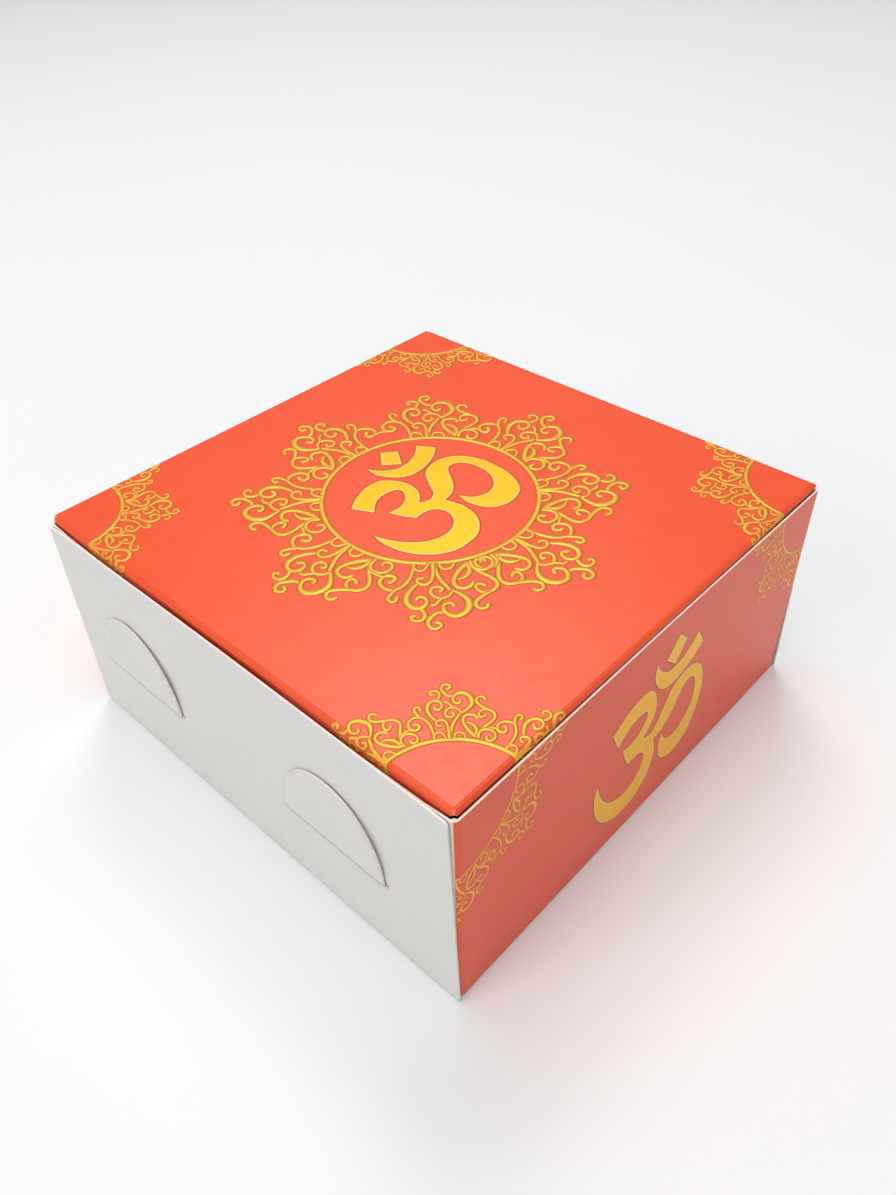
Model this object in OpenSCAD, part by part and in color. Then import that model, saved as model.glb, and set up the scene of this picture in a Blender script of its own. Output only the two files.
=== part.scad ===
// Folding sweet carton, cut and creased from one sheet of thin board.
// The lid is hinged on the back wall and its three flaps hang inside the walls. Each corner flap has a
// half-moon tab that comes out through a slit in the side wall and locks it.
// Millimetres. +Z is up, the front wall faces -Y, and the origin is the middle of the underside.

/* [Carton] */
// Outer width, across the two side walls
box_w = 152; // [120:1:260]
// Outer depth, from the front wall to the back wall
box_d = 150; // [130:1:260]
// Height with the lid closed
box_h = 71; // [58:1:120]
// Thickness of the board
board_t = 0.5; // [0.35:0.05:0.7]

/* [Creases] */
// Inner radius of the folds round the base and the lid
fold_r = 0.5; // [0.3:0.1:1.2]
// Inner radius of the upright folds at the corners
corner_fold_r = 1; // [0.3:0.1:2]
// Inner radius of the fold at the foot of a lock tab
tab_fold_r = 0.5; // [0.3:0.05:0.6]

/* [Walls] */
// Gap between the front wall's top edge and the lid's underside
front_wall_gap = 1.3; // [0.5:0.1:3]
// Gap between the back wall's top edge and the lid's underside, where the lid is creased
hinge_gap = 0.3; // [0.2:0.1:0.6]
// How far the side walls stop below the front wall
side_wall_drop = 0.4; // [0:0.1:4]
// How far each end of a side wall runs past the front and back walls
side_wall_overhang = 0.5; // [0:0.1:2]
// Corner radius at the top of a side wall
side_wall_corner_r = 1; // [0.5:0.1:3]

/* [Corner flaps] */
// Gap between a side wall and the corner flaps behind it
layer_gap = 0.15; // [0.1:0.05:0.4]
// Gap between the base and the bottom edge of a corner flap
corner_flap_lift = 0.3; // [0.2:0.1:1]
// Board between a tab's window and the free end of its flap
corner_flap_margin = 6; // [3:0.5:12]
// Corner radius at the free end of a corner flap
corner_flap_r = 12; // [2:0.5:18]

/* [Lock tabs] */
// Width of a tab along its crease
tab_w = 36; // [20:0.5:44]
// Height of a tab above its crease
tab_h = 23.5; // [20:0.5:28]
// Radius of the crown of a tab
tab_crown_r = 15; // [9:0.5:15]
// Height of the tabs' creases above the underside
tab_z = 26.5; // [12:0.5:30]
// Distance from the front wall to the middle of the front tabs
front_tab_in = 40; // [30:0.5:45]
// Distance from the back wall to the middle of the back tabs
back_tab_in = 30.5; // [28:0.5:45]
// Gap between a tab and the side wall that it lies on
tab_gap = 0.25; // [0.2:0.05:0.6]
// Gap above and below a tab in its slit
slit_gap = 0.2; // [0.15:0.05:0.5]
// How far a slit runs past each end of its tab
slit_run_out = 0.6; // [0.3:0.1:2]

/* [Lid] */
// Gap between the lid's flaps and the walls and corner flaps outside them
flap_gap = 0.3; // [0.25:0.05:0.8]
// Notch at each front corner of the lid, between the folds of its flaps
lid_notch = 0.6; // [0.3:0.1:3]
// Depth of the tuck flap below its crease
tuck_flap_h = 25; // [15:0.5:40]
// Inward lean of the tuck flap beyond what it needs to swing clear of the front wall, in degrees
tuck_spare_lean = 1; // [0.6:0.1:5]
// Depth of the lid's side flaps below their creases
side_flap_h = 22; // [12:0.5:35]
// Inward lean of the lid's side flaps, in degrees
side_flap_lean = 5.5; // [4.5:0.1:12]
// How much a side flap narrows at its back end
side_flap_taper = 4; // [0:0.5:10]
// Corner radius of the lid's flaps
lid_flap_r = 6; // [2:0.5:10]

/* [Hidden] */
$fn = 96;
print_red = "#f25a3c";
wall_red = "#c9452f";
board_white = "#dedbd6";
board_inner = "#cfc9bf";

// Length by which cutting shapes pass through what they cut
past = 1;
// Outer radius of the folds round the base and the lid, and of the upright folds
bend_r = fold_r + board_t;
corner_bend_r = corner_fold_r + board_t;
// Distance between a hinged flap's own edge and the axis of its fold
root_gap = 0.15;

// Inset of the corner flaps' outer faces, and of the lid's folded edges, from the outer side faces
flap_inset = board_t + layer_gap;
lid_inset = flap_inset + board_t + flap_gap;
tuck_inset = board_t + flap_gap;

// Top edges
lid_under = box_h - board_t;
front_wall_top = lid_under - front_wall_gap;
back_wall_top = lid_under - hinge_gap;
side_wall_top = front_wall_top - side_wall_drop;
corner_flap_base = board_t + corner_flap_lift;

// Half the flat width of the front and back walls, between the folds of their corner flaps
wall_half_w = box_w / 2 - flap_inset - corner_bend_r;

// Axes of the lid's folds
lid_fold_x = box_w / 2 - lid_inset - bend_r;
lid_fold_y = -box_d / 2 + tuck_inset + bend_r;
lid_fold_z = box_h - bend_r;
// The lid's side flaps run from its front corner to just inside the back wall's corner folds
side_flap_front = lid_fold_y + lid_notch;
side_flap_back = box_d / 2 - board_t - corner_fold_r - flap_gap;
// A flap's free corner swings on a circle about the lid's hinge, so it leans in by half the angle that it spans
tuck_flap_lean = asin(tuck_flap_h / (2 * box_d)) + tuck_spare_lean;

// Axis of a tab's fold, outside the left side wall
tab_fold_x = box_w / 2 + tab_gap - tab_fold_r;

// Unit vector from a to b
function towards(a, b) = (b - a) / norm(b - a);
// Point i of a closed outline, counted round
function at(points, i) = points[(i + len(points)) % len(points)];
// Half the inner angle of an outline at point i
function half_angle(points, i) =
    acos(towards(points[i], at(points, i - 1)) * towards(points[i], at(points, i + 1))) / 2;

// A convex outline with each corner i rounded to radii[i]; 0 leaves a corner sharp
module rounded(points, radii) {
    polygon([
        for (i = [0 : len(points) - 1])
            for (j = radii[i] > 0 ? [-1, 1] : [0])
                j == 0 ? points[i]
                    : points[i] + towards(points[i], at(points, i + j)) * radii[i] / tan(half_angle(points, i))
    ]);
    for (i = [0 : len(points) - 1])
        if (radii[i] > 0)
            let (inward = towards(points[i], at(points, i - 1)) + towards(points[i], at(points, i + 1)))
                translate(points[i] + inward / norm(inward) * radii[i] / sin(half_angle(points, i)))
                    circle(r = radii[i]);
}

// Board cut to a 2D outline drawn in Y and Z, with its face at x and its thickness towards +X
module board_yz(x) {
    translate([x, 0, 0]) rotate([90, 0, 90]) linear_extrude(board_t) children();
}

// Board cut to a 2D outline drawn in X and Z, with its face at y and its thickness towards +Y
module board_xz(y) {
    translate([0, y + board_t, 0]) rotate([90, 0, 0]) linear_extrude(board_t) children();
}

// Section of a right-angled fold of inner radius r, with its outer side towards -X and -Y
module fold_section(r) {
    difference() {
        intersection() {
            circle(r = r + board_t);
            translate([-r - board_t, -r - board_t]) square(r + board_t);
        }
        circle(r = r);
    }
}

// Fold along Y from y0 to y1, about an axis at x and z, with its outer side towards -X and -Z
module fold_along_y(x, z, y0, y1) {
    translate([x, y1, z]) rotate([90, 0, 0]) linear_extrude(y1 - y0) fold_section(fold_r);
}

// Fold along X from x0 to x1, about an axis at y and z, with its outer side towards -Y and -Z
module fold_along_x(y, z, x0, x1) {
    translate([x0, y, z]) rotate([90, 0, 90]) linear_extrude(x1 - x0) fold_section(fold_r);
}

// Outline of a half-moon tab: a crown arc that runs smoothly into a wider arc down each side
module half_moon() {
    crown_z = tab_h - tab_crown_r;
    half_w = tab_w / 2;
    side_r = (half_w ^ 2 + crown_z ^ 2 - tab_crown_r ^ 2) / (2 * (half_w - tab_crown_r));
    side_in = side_r - half_w;
    join_z = side_r * crown_z / (side_r - tab_crown_r);
    intersection() {
        translate([-side_in, 0]) circle(r = side_r);
        translate([side_in, 0]) circle(r = side_r);
        translate([-half_w, 0]) square([tab_w, join_z]);
    }
    intersection() {
        translate([0, crown_z]) circle(r = tab_crown_r);
        translate([-half_w, 0]) square([tab_w, tab_h + past]);
    }
}

// Puts children, modelled at the front left corner, at the corner on side sx and end sy
module at_corner(sx, sy) {
    mirror([sx > 0 ? 1 : 0, 0, 0]) mirror([0, sy > 0 ? 1 : 0, 0]) children();
}

module base_panel() {
    color(board_inner)
        translate([bend_r - box_w / 2, bend_r - box_d / 2, 0])
            cube([box_w - 2 * bend_r, box_d - 2 * bend_r, board_t]);
}

// Front wall up to a given top edge; the back wall is the same, mirrored
module printed_wall(top) {
    color(wall_red) {
        board_xz(-box_d / 2) translate([-wall_half_w, bend_r]) square([2 * wall_half_w, top - bend_r]);
        fold_along_x(bend_r - box_d / 2, bend_r, -wall_half_w, wall_half_w);
    }
}

module front_wall() {
    printed_wall(front_wall_top);
}

module back_wall() {
    mirror([0, 1, 0]) printed_wall(back_wall_top);
}

// Slit for a tab whose middle is at y
module slit(y) {
    translate([y - tab_w / 2 - slit_run_out, tab_z - board_t - slit_gap])
        square([tab_w + 2 * slit_run_out, board_t + 2 * slit_gap]);
}

module side_wall() {
    end = box_d / 2 + side_wall_overhang;
    r = side_wall_corner_r;
    color(board_white) {
        board_yz(-box_w / 2) difference() {
            rounded(
                [[-end, bend_r], [end, bend_r], [end, side_wall_top], [-end, side_wall_top]],
                [0, 0, r, r]
            );
            slit(front_tab_in - box_d / 2);
            slit(box_d / 2 - back_tab_in);
        }
        fold_along_y(bend_r - box_w / 2, bend_r, -end, end);
    }
}

module left_side_wall() {
    side_wall();
}

module right_side_wall() {
    mirror([1, 0, 0]) side_wall();
}

// Corner flap at the front left corner, for a tab whose middle lies tab_in from the end wall.
// The tab was cut out of the flap, so its window has the tab's outline. A short tongue below the
// window reaches into the slit and carries the tab.
module corner_flap(tab_in) {
    face = flap_inset - box_w / 2;
    front = -box_d / 2;
    start = front + corner_bend_r;
    reach = front + tab_in + tab_w / 2 + corner_flap_margin;
    r = corner_flap_r;
    color(board_inner) {
        board_yz(face) difference() {
            rounded(
                [[start, corner_flap_base], [reach, corner_flap_base],
                 [reach, front_wall_top], [start, front_wall_top]],
                [0, r, r, 0]
            );
            translate([front + tab_in, tab_z]) half_moon();
        }
        translate([face + corner_bend_r, start, bend_r])
            linear_extrude(front_wall_top - bend_r) fold_section(corner_fold_r);
        translate([-tab_fold_x, front + tab_in - tab_w / 2, tab_z - board_t])
            cube([face + board_t + tab_fold_x, tab_w, board_t]);
    }
}

// Tab at the front left corner, folded up against the outside of the side wall
module lock_tab(tab_in) {
    foot = tab_fold_r + root_gap;
    color(board_white)
        board_yz(-box_w / 2 - tab_gap - board_t)
            translate([tab_in - box_d / 2, tab_z])
                intersection() {
                    half_moon();
                    translate([-tab_w / 2, foot]) square([tab_w, tab_h]);
                }
}

module front_left_corner_flap() {
    at_corner(-1, -1) corner_flap(front_tab_in);
}

module front_right_corner_flap() {
    at_corner(1, -1) corner_flap(front_tab_in);
}

module back_left_corner_flap() {
    at_corner(-1, 1) corner_flap(back_tab_in);
}

module back_right_corner_flap() {
    at_corner(1, 1) corner_flap(back_tab_in);
}

module front_left_lock_tab() {
    at_corner(-1, -1) lock_tab(front_tab_in);
}

module front_right_lock_tab() {
    at_corner(1, -1) lock_tab(front_tab_in);
}

module back_left_lock_tab() {
    at_corner(-1, 1) lock_tab(back_tab_in);
}

module back_right_lock_tab() {
    at_corner(1, 1) lock_tab(back_tab_in);
}

// Top panel with the folds of its three flaps. The folds stop short of the front corners.
module lid_panel() {
    color(print_red) {
        translate([-lid_fold_x, lid_fold_y, lid_under])
            cube([2 * lid_fold_x, box_d / 2 - lid_fold_y, board_t]);
        for (sx = [0, 1])
            mirror([sx, 0, 0])
                translate([-lid_fold_x, 0, lid_fold_z])
                    mirror([0, 0, 1]) fold_along_y(0, 0, side_flap_front, side_flap_back);
        translate([0, lid_fold_y, lid_fold_z])
            mirror([0, 0, 1]) fold_along_x(0, 0, lid_notch - lid_fold_x, lid_fold_x - lid_notch);
    }
}

// The lid's flaps meet at the front corners on a mitre, so that each can fold flat under the lid
module lid_tuck_flap() {
    root = lid_fold_x - lid_notch - root_gap;
    tip = root - tuck_flap_h + root_gap;
    r = lid_flap_r;
    color(wall_red)
        translate([0, lid_fold_y, lid_fold_z])
            rotate([tuck_flap_lean, 0, 0])
                board_xz(-bend_r)
                    rounded(
                        [[root, -root_gap], [-root, -root_gap], [-tip, -tuck_flap_h], [tip, -tuck_flap_h]],
                        [0, 0, r, r]
                    );
}

module lid_side_flap() {
    root = side_flap_front + root_gap;
    tip = root + side_flap_h - root_gap;
    r = lid_flap_r;
    color(wall_red)
        translate([-lid_fold_x, 0, lid_fold_z])
            rotate([0, -side_flap_lean, 0])
                board_yz(-bend_r)
                    rounded(
                        [[side_flap_back, -root_gap], [root, -root_gap],
                         [tip, -side_flap_h], [side_flap_back - side_flap_taper, -side_flap_h]],
                        [0, 0, r, r]
                    );
}

module lid_left_flap() {
    lid_side_flap();
}

module lid_right_flap() {
    mirror([1, 0, 0]) lid_side_flap();
}

base_panel();
front_wall();
back_wall();
left_side_wall();
right_side_wall();
front_left_corner_flap();
front_right_corner_flap();
back_left_corner_flap();
back_right_corner_flap();
front_left_lock_tab();
front_right_lock_tab();
back_left_lock_tab();
back_right_lock_tab();
lid_panel();
lid_tuck_flap();
lid_left_flap();
lid_right_flap();
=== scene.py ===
# %% [markdown]
# # A folding sweet box made from one sheet of printed board
# The real box is die-cut from a single sheet of thin folding board, printed on one side and creased.
# It could be modelled as a block with a lid, but then no fold, slit or raw edge would be where the real
# one has it. Here every panel is a flat outline that is bent along a section and given its thickness,
# so each crease, cut edge and printed face is made the way the carton is made.
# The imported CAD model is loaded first, because every piece must sit on it and ride on its bodies.

# %% Load the frame
import math
from functools import partial

import bmesh
import bpy
import numpy as np
from mathutils import Matrix, Vector
from mathutils.geometry import tessellate_polygon


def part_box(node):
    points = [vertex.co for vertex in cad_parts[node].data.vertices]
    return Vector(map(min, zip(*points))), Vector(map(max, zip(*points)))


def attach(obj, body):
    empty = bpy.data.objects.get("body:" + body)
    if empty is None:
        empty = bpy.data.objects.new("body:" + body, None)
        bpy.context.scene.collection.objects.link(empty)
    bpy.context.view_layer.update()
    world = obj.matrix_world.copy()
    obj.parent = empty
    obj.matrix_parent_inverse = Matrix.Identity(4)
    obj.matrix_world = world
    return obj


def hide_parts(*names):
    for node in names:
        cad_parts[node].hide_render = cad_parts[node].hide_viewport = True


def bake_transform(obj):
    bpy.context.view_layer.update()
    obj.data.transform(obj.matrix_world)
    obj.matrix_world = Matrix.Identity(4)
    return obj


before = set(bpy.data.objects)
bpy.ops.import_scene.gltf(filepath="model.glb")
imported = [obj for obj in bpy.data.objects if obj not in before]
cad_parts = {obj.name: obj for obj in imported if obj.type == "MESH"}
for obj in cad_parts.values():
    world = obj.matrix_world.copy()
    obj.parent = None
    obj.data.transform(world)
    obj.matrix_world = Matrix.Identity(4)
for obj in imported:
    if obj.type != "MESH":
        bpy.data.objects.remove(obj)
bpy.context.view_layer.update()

# %% [markdown]
# ## Sizes
# All sizes are in millimetres. Whatever a CAD node's box shows is read from the frame, so the sheets drawn
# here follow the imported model. Only what a box can't show, such as a lean or a radius, is typed.
# A fold is described by the radius of its outer face; the board's thickness lies inside it.

# %% Sizes of the carton
MM = 0.001
X, Y, Z = range(3)


def reach(node, axis, end):
    """Where a CAD node's box begins (end 0) or stops (end 1) along an axis."""
    return round(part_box(node)[end][axis] / MM, 2)


BOARD = reach("base_panel", Z, 1)
BOX_W, BOX_D = 2 * reach("right_side_wall", X, 1), 2 * reach("back_wall", Y, 1)
BOX_H = reach("lid_panel", Z, 1)
FRONT_TOP, SIDE_TOP = reach("front_wall", Z, 1), reach("left_side_wall", Z, 1)
WALL_HALF_W = reach("front_wall", X, 1)
FOLD_R = BOX_W / 2 - reach("base_panel", X, 1)
CORNER_FOLD_R = 1.5

LID_HALF_W, LID_FRONT, LID_BACK = reach("lid_panel", X, 1), reach("lid_panel", Y, 0), reach("lid_panel", Y, 1)
LID_FOLD_X, LID_FOLD_Y, LID_FOLD_Z = LID_HALF_W - FOLD_R, LID_FRONT + FOLD_R, BOX_H - FOLD_R
HINGE_Y = BOX_D / 2 - FOLD_R
TUCK_H, TUCK_LEAN = 25.0, 5.78
SIDE_FLAP_H, SIDE_FLAP_LEAN = 22.0, 5.5
SIDE_FLAP_BACK = reach("lid_left_flap", Y, 1)
# The side flaps' print and their mitre start this far behind the lid's front fold
LID_NOTCH = 0.6
# The lid's face lies this far under the CAD box, so that the ink on it stays inside the box
LID_SINK = 0.06

# The side walls' ends are cut slightly aslant, so the top edge is shorter than the bottom fold
SIDE_END, SIDE_TOP_END = reach("left_side_wall", Y, 1), 73.7
FLAP_FACE = WALL_HALF_W + CORNER_FOLD_R
FLAP_BASE = reach("front_left_corner_flap", Z, 0)
FRONT_FLAP_END, BACK_FLAP_END = reach("front_left_corner_flap", Y, 1), reach("back_left_corner_flap", Y, 0)

TAB_Z, TAB_W, TAB_H, TAB_CROWN_R = 26.5, 36.0, 23.5, 15.0
TAB_FOLD_X = reach("front_right_corner_flap", X, 1)
FRONT_TAB_Y, BACK_TAB_Y = [(reach(node, Y, 0) + reach(node, Y, 1)) / 2
                           for node in ("front_left_lock_tab", "back_left_lock_tab")]
# How far a slit runs past its tab's two sides and its two ends, and the radius of its own ends
SLIT_GAP, SLIT_RUN_OUT, SLIT_R = 0.25, 0.9, 0.3
print("carton, mm:", BOX_W, BOX_D, BOX_H, "board:", BOARD, "tabs at:", FRONT_TAB_Y, BACK_TAB_Y)

# %% [markdown]
# ## Helpers for colours and nodes
# Colours are picked as sRGB hex values, as a paint program shows them, but Blender's shaders work in
# linear light, so one function converts them. One more function adds a node with its settings and links,
# for shaders and Geometry Nodes alike, which keeps the trees short to read.


# %% Colour and node helpers
def linear(hex_colour):
    """sRGB hex to linear RGBA."""
    parts = [int(hex_colour[i:i + 2], 16) / 255 for i in (1, 3, 5)]
    return tuple(c / 12.92 if c <= 0.04045 else ((c + 0.055) / 1.055) ** 2.4 for c in parts) + (1.0,)


def add(tree, kind, sockets=None, **settings):
    """Adds a node with its settings. sockets gives inputs by name or number, each as a value or as a node or
    output to link."""
    node = tree.nodes.new(kind)
    for name, value in settings.items():
        setattr(node, name, value)
    for name, value in (sockets or {}).items():
        if isinstance(value, bpy.types.Node):
            value = next(output for output in value.outputs if output.enabled)
        if isinstance(value, bpy.types.NodeSocket):
            tree.links.new(value, node.inputs[name])
        else:
            node.inputs[name].default_value = value
    return node


def new_finish(name):
    """A material with an empty tree, and its node maker."""
    material = bpy.data.materials.new(name)
    material.use_nodes = True
    material.node_tree.nodes.clear()
    return material, partial(add, material.node_tree)


# %% [markdown]
# ## Printed, coated folding board
# The outside is white-lined folding board, offset printed in a flat orange red and sealed with a satin
# varnish. To the eye it is an even colour with a soft sheen, a faint mottle from the board's fibres, a
# slightly paler line along each crease, and a pale break at the cut edge. The paler crease line is partly
# ink stretched by the crease and partly a painted highlight where the fold catches the light.
# A plain colour would look like plastic, so the mottle, the fibres, the paler crease line and the frayed
# cut edge are added from noise and from two distances stored on the mesh: to the nearest fold and to the
# nearest cut edge.


# %% Satin print
def satin_print():
    """Varnished red print: even colour, soft sheen, paler at creases and cut edges."""
    material, node = new_finish("varnished_red_print")
    place = node("ShaderNodeTexCoord").outputs["Object"]
    # Mottle 9 mm across, from uneven board under the ink
    mottle = node("ShaderNodeTexNoise", {"Vector": place, "Scale": 1000 / 9, "Detail": 3.0})
    mottle = node("ShaderNodeMapRange", {"Value": mottle, 1: 0.35, 2: 0.65, 3: 0.0, 4: 0.5})
    colour = node("ShaderNodeMix", {0: mottle, 6: linear("#f45422"), 7: linear("#f04f1e")}, data_type="RGBA")
    # Paler within 0.35 mm of a crease: stretched ink, and a painted highlight along the fold
    fold = node("ShaderNodeAttribute", attribute_name="fold_mm").outputs["Fac"]
    crease = node("ShaderNodeMapRange", {"Value": fold, 1: 0.0, 2: 0.35, 3: 0.12, 4: 0.0})
    colour = node("ShaderNodeMix", {0: crease, 6: colour, 7: linear("#f4714b")}, data_type="RGBA")
    # Ink frayed off within 0.2 mm of the cut, in patches of about 1 mm
    edge = node("ShaderNodeAttribute", attribute_name="edge_mm").outputs["Fac"]
    edge = node("ShaderNodeMapRange", {"Value": edge, 1: 0.02, 2: 0.2, 3: 0.7, 4: 0.0})
    patches = node("ShaderNodeTexNoise", {"Vector": place, "Scale": 1000 / 1.2})
    frayed = node("ShaderNodeMath", {0: edge, 1: patches}, operation="MULTIPLY")
    colour = node("ShaderNodeMix", {0: frayed, 6: colour, 7: linear("#f7a58c")}, data_type="RGBA")
    # Board fibres are 0.02 to 0.05 mm wide; 0.3 mm is as fine as the render shows
    fibres = node("ShaderNodeTexNoise", {"Vector": place, "Scale": 1000 / 0.3, "Detail": 2.0})
    swell = node("ShaderNodeTexNoise", {"Vector": place, "Scale": 1000 / 2.5})
    height = node("ShaderNodeMath", {0: fibres, 1: swell}, operation="ADD")
    bump = node("ShaderNodeBump", {"Height": height, "Strength": 0.12, "Distance": 0.0001})
    varnish = node("ShaderNodeTexNoise", {"Vector": place, "Scale": 1000 / 3})
    rough = node("ShaderNodeMapRange", {"Value": varnish, 1: 0.3, 2: 0.7, 3: 0.33, 4: 0.39})
    shader = node("ShaderNodeBsdfPrincipled",
                  {"Base Color": colour, "Normal": bump, "Roughness": rough, "IOR": 1.5})
    node("ShaderNodeOutputMaterial", {"Surface": shader})
    return material


RED = satin_print()

# %% [markdown]
# ## Gold ink
# The ornament is printed in a warm yellow gold with a thin brown keyline round every stroke. The ink
# catches the light a little more than the red does, and each stroke is palest along its rim.
# The mesh of each stroke stores how far a point lies from the stroke's edge, so the shader can draw the
# rim and a small bevel without any picture.


# %% Gold ink and keyline
def gold_ink(name, rim_hex, body_hex, rim_mm):
    """Raised gold ink: a pale rim of rim_mm, a deeper body, a low metallic lustre."""
    material, node = new_finish(name)
    place = node("ShaderNodeTexCoord").outputs["Object"]
    depth = node("ShaderNodeAttribute", attribute_name="rim_mm").outputs["Fac"]
    body = node("ShaderNodeMapRange", {"Value": depth, 1: rim_mm * 0.5, 2: rim_mm, 3: 0.0, 4: 1.0})
    colour = node("ShaderNodeMix", {0: body, 6: linear(rim_hex), 7: linear(body_hex)}, data_type="RGBA")
    # Flakes in gold ink are a few hundredths of a millimetre; 0.5 mm clouds of them show
    flakes = node("ShaderNodeTexNoise", {"Vector": place, "Scale": 1000 / 0.5})
    cloud = node("ShaderNodeMapRange", {"Value": flakes, 1: 0.3, 2: 0.7, 3: 0.0, 4: 0.25})
    colour = node("ShaderNodeMix", {0: cloud, 6: colour, 7: linear("#f0a818")}, data_type="RGBA")
    bevel = node("ShaderNodeMapRange", {"Value": depth, 1: 0.0, 2: 0.3, 3: 0.0, 4: 1.0})
    height = node("ShaderNodeMath", {0: flakes, 1: 0.12, 2: bevel}, operation="MULTIPLY_ADD")
    bump = node("ShaderNodeBump", {"Height": height, "Strength": 0.08, "Distance": 0.0001})
    lustre = node("ShaderNodeTexNoise", {"Vector": place, "Scale": 1000 / 1.5})
    rough = node("ShaderNodeMapRange", {"Value": lustre, 1: 0.3, 2: 0.7, 3: 0.34, 4: 0.46})
    shader = node("ShaderNodeBsdfPrincipled",
                  {"Base Color": colour, "Normal": bump, "Roughness": rough, "Metallic": 0.42})
    node("ShaderNodeOutputMaterial", {"Surface": shader})
    return material


def keyline_ink():
    """Thin brown keyline round the gold, a little uneven where it bleeds into the red."""
    material, node = new_finish("brown_keyline_ink")
    place = node("ShaderNodeTexCoord").outputs["Object"]
    bleed = node("ShaderNodeTexNoise", {"Vector": place, "Scale": 1000 / 0.8})
    bleed = node("ShaderNodeMapRange", {"Value": bleed, 1: 0.35, 2: 0.65, 3: 0.0, 4: 1.0})
    colour = node("ShaderNodeMix", {0: bleed, 6: linear("#b05418"), 7: linear("#c46c22")}, data_type="RGBA")
    varnish = node("ShaderNodeTexNoise", {"Vector": place, "Scale": 1000 / 2})
    rough = node("ShaderNodeMapRange", {"Value": varnish, 1: 0.3, 2: 0.7, 3: 0.4, 4: 0.5})
    shader = node("ShaderNodeBsdfPrincipled", {"Base Color": colour, "Roughness": rough})
    node("ShaderNodeOutputMaterial", {"Surface": shader})
    return material


GOLD_LINE = gold_ink("pale_gold_line_ink", "#ff9c40", "#ffc044", 0.22)
GOLD_FIGURE = gold_ink("deep_gold_figure_ink", "#ffcc6c", "#fec50c", 0.8)
KEYLINE = keyline_ink()

# %% [markdown]
# ## Unprinted board and its cut edges
# The side walls and the lock tabs show the board's white coated face, which is smooth with a faint
# warm grey mottle. The inside is uncoated pulp, duller and with visible fibres and a few dark specks.
# A die-cut edge shows the pulp between the two faces: bright, soft and slightly furry.


# %% White board, inner board and cut edge
def board_face(name, light, dark, mottle_mm, roughness, fibre):
    """Unprinted board: two close tones, specks of pulp and a fibre bump of the given strength."""
    material, node = new_finish(name)
    place = node("ShaderNodeTexCoord").outputs["Object"]
    mottle = node("ShaderNodeTexNoise", {"Vector": place, "Scale": 1000 / mottle_mm, "Detail": 3.0})
    mottle = node("ShaderNodeMapRange", {"Value": mottle, 1: 0.35, 2: 0.65, 3: 0.0, 4: 1.0})
    colour = node("ShaderNodeMix", {0: mottle, 6: linear(light), 7: linear(dark)}, data_type="RGBA")
    # Specks of pulp, under 1 mm
    speck = node("ShaderNodeTexNoise", {"Vector": place, "Scale": 1000 / 0.8, "Detail": 1.0})
    speck = node("ShaderNodeMapRange", {"Value": speck, 1: 0.72, 2: 0.78, 3: 0.0, 4: 0.25})
    colour = node("ShaderNodeMix", {0: speck, 6: colour, 7: linear("#a2937c")}, data_type="RGBA")
    # A thin grey line of painted shade along a tab's fold, where the tab comes out of its slit
    fold = node("ShaderNodeAttribute", attribute_name="score_mm").outputs["Fac"]
    score = node("ShaderNodeMapRange", {"Value": fold, 1: 0.08, 2: 0.3, 3: 0.9, 4: 0.0})
    colour = node("ShaderNodeMix", {0: score, 6: colour, 7: linear("#6d655c")}, data_type="RGBA")
    # Rubbed paler within 0.3 mm of the cut
    edge = node("ShaderNodeAttribute", attribute_name="edge_mm").outputs["Fac"]
    edge = node("ShaderNodeMapRange", {"Value": edge, 1: 0.0, 2: 0.3, 3: 0.35, 4: 0.0})
    colour = node("ShaderNodeMix", {0: edge, 6: colour, 7: linear("#f4efe9")}, data_type="RGBA")
    # Fibres lie mostly along the board's grain; drawn 0.35 mm wide so that they show
    grain = node("ShaderNodeMapping", {"Vector": place, "Scale": (1.0, 0.45, 1.0)})
    fibres = node("ShaderNodeTexNoise", {"Vector": grain, "Scale": 1000 / 0.35, "Detail": 4.0})
    bump = node("ShaderNodeBump", {"Height": fibres, "Strength": fibre, "Distance": 0.0001})
    clay = node("ShaderNodeTexNoise", {"Vector": place, "Scale": 1000 / 4})
    rough = node("ShaderNodeMapRange", {"Value": clay, 1: 0.3, 2: 0.7, 3: roughness, 4: roughness + 0.08})
    shader = node("ShaderNodeBsdfPrincipled", {"Base Color": colour, "Normal": bump, "Roughness": rough})
    node("ShaderNodeOutputMaterial", {"Surface": shader})
    return material


WHITE = board_face("coated_white_board", "#e7e5e2", "#e5e3df", 3.0, 0.5, 0.08)
INNER = board_face("uncoated_inner_board", "#d9d3c8", "#cdc6b9", 1.6, 0.8, 0.5)
CUT = board_face("die_cut_board_edge", "#fbf3ec", "#e9dccb", 0.9, 0.85, 0.6)
print("materials:", len(bpy.data.materials))

# %% [markdown]
# ## Bending a flat outline along a section
# Paper bends only one way at a time, so a folded panel is a flat outline swept along a section: straight
# runs and circular turns, followed clockwise so that the board's thickness is always on the right.
# `section` returns a function that turns a distance along the board and a depth into the board into a
# point of the section's plane. This is how a carton maker thinks of it: lengths stay what they are on
# the flat sheet, and only the creases bend.


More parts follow.
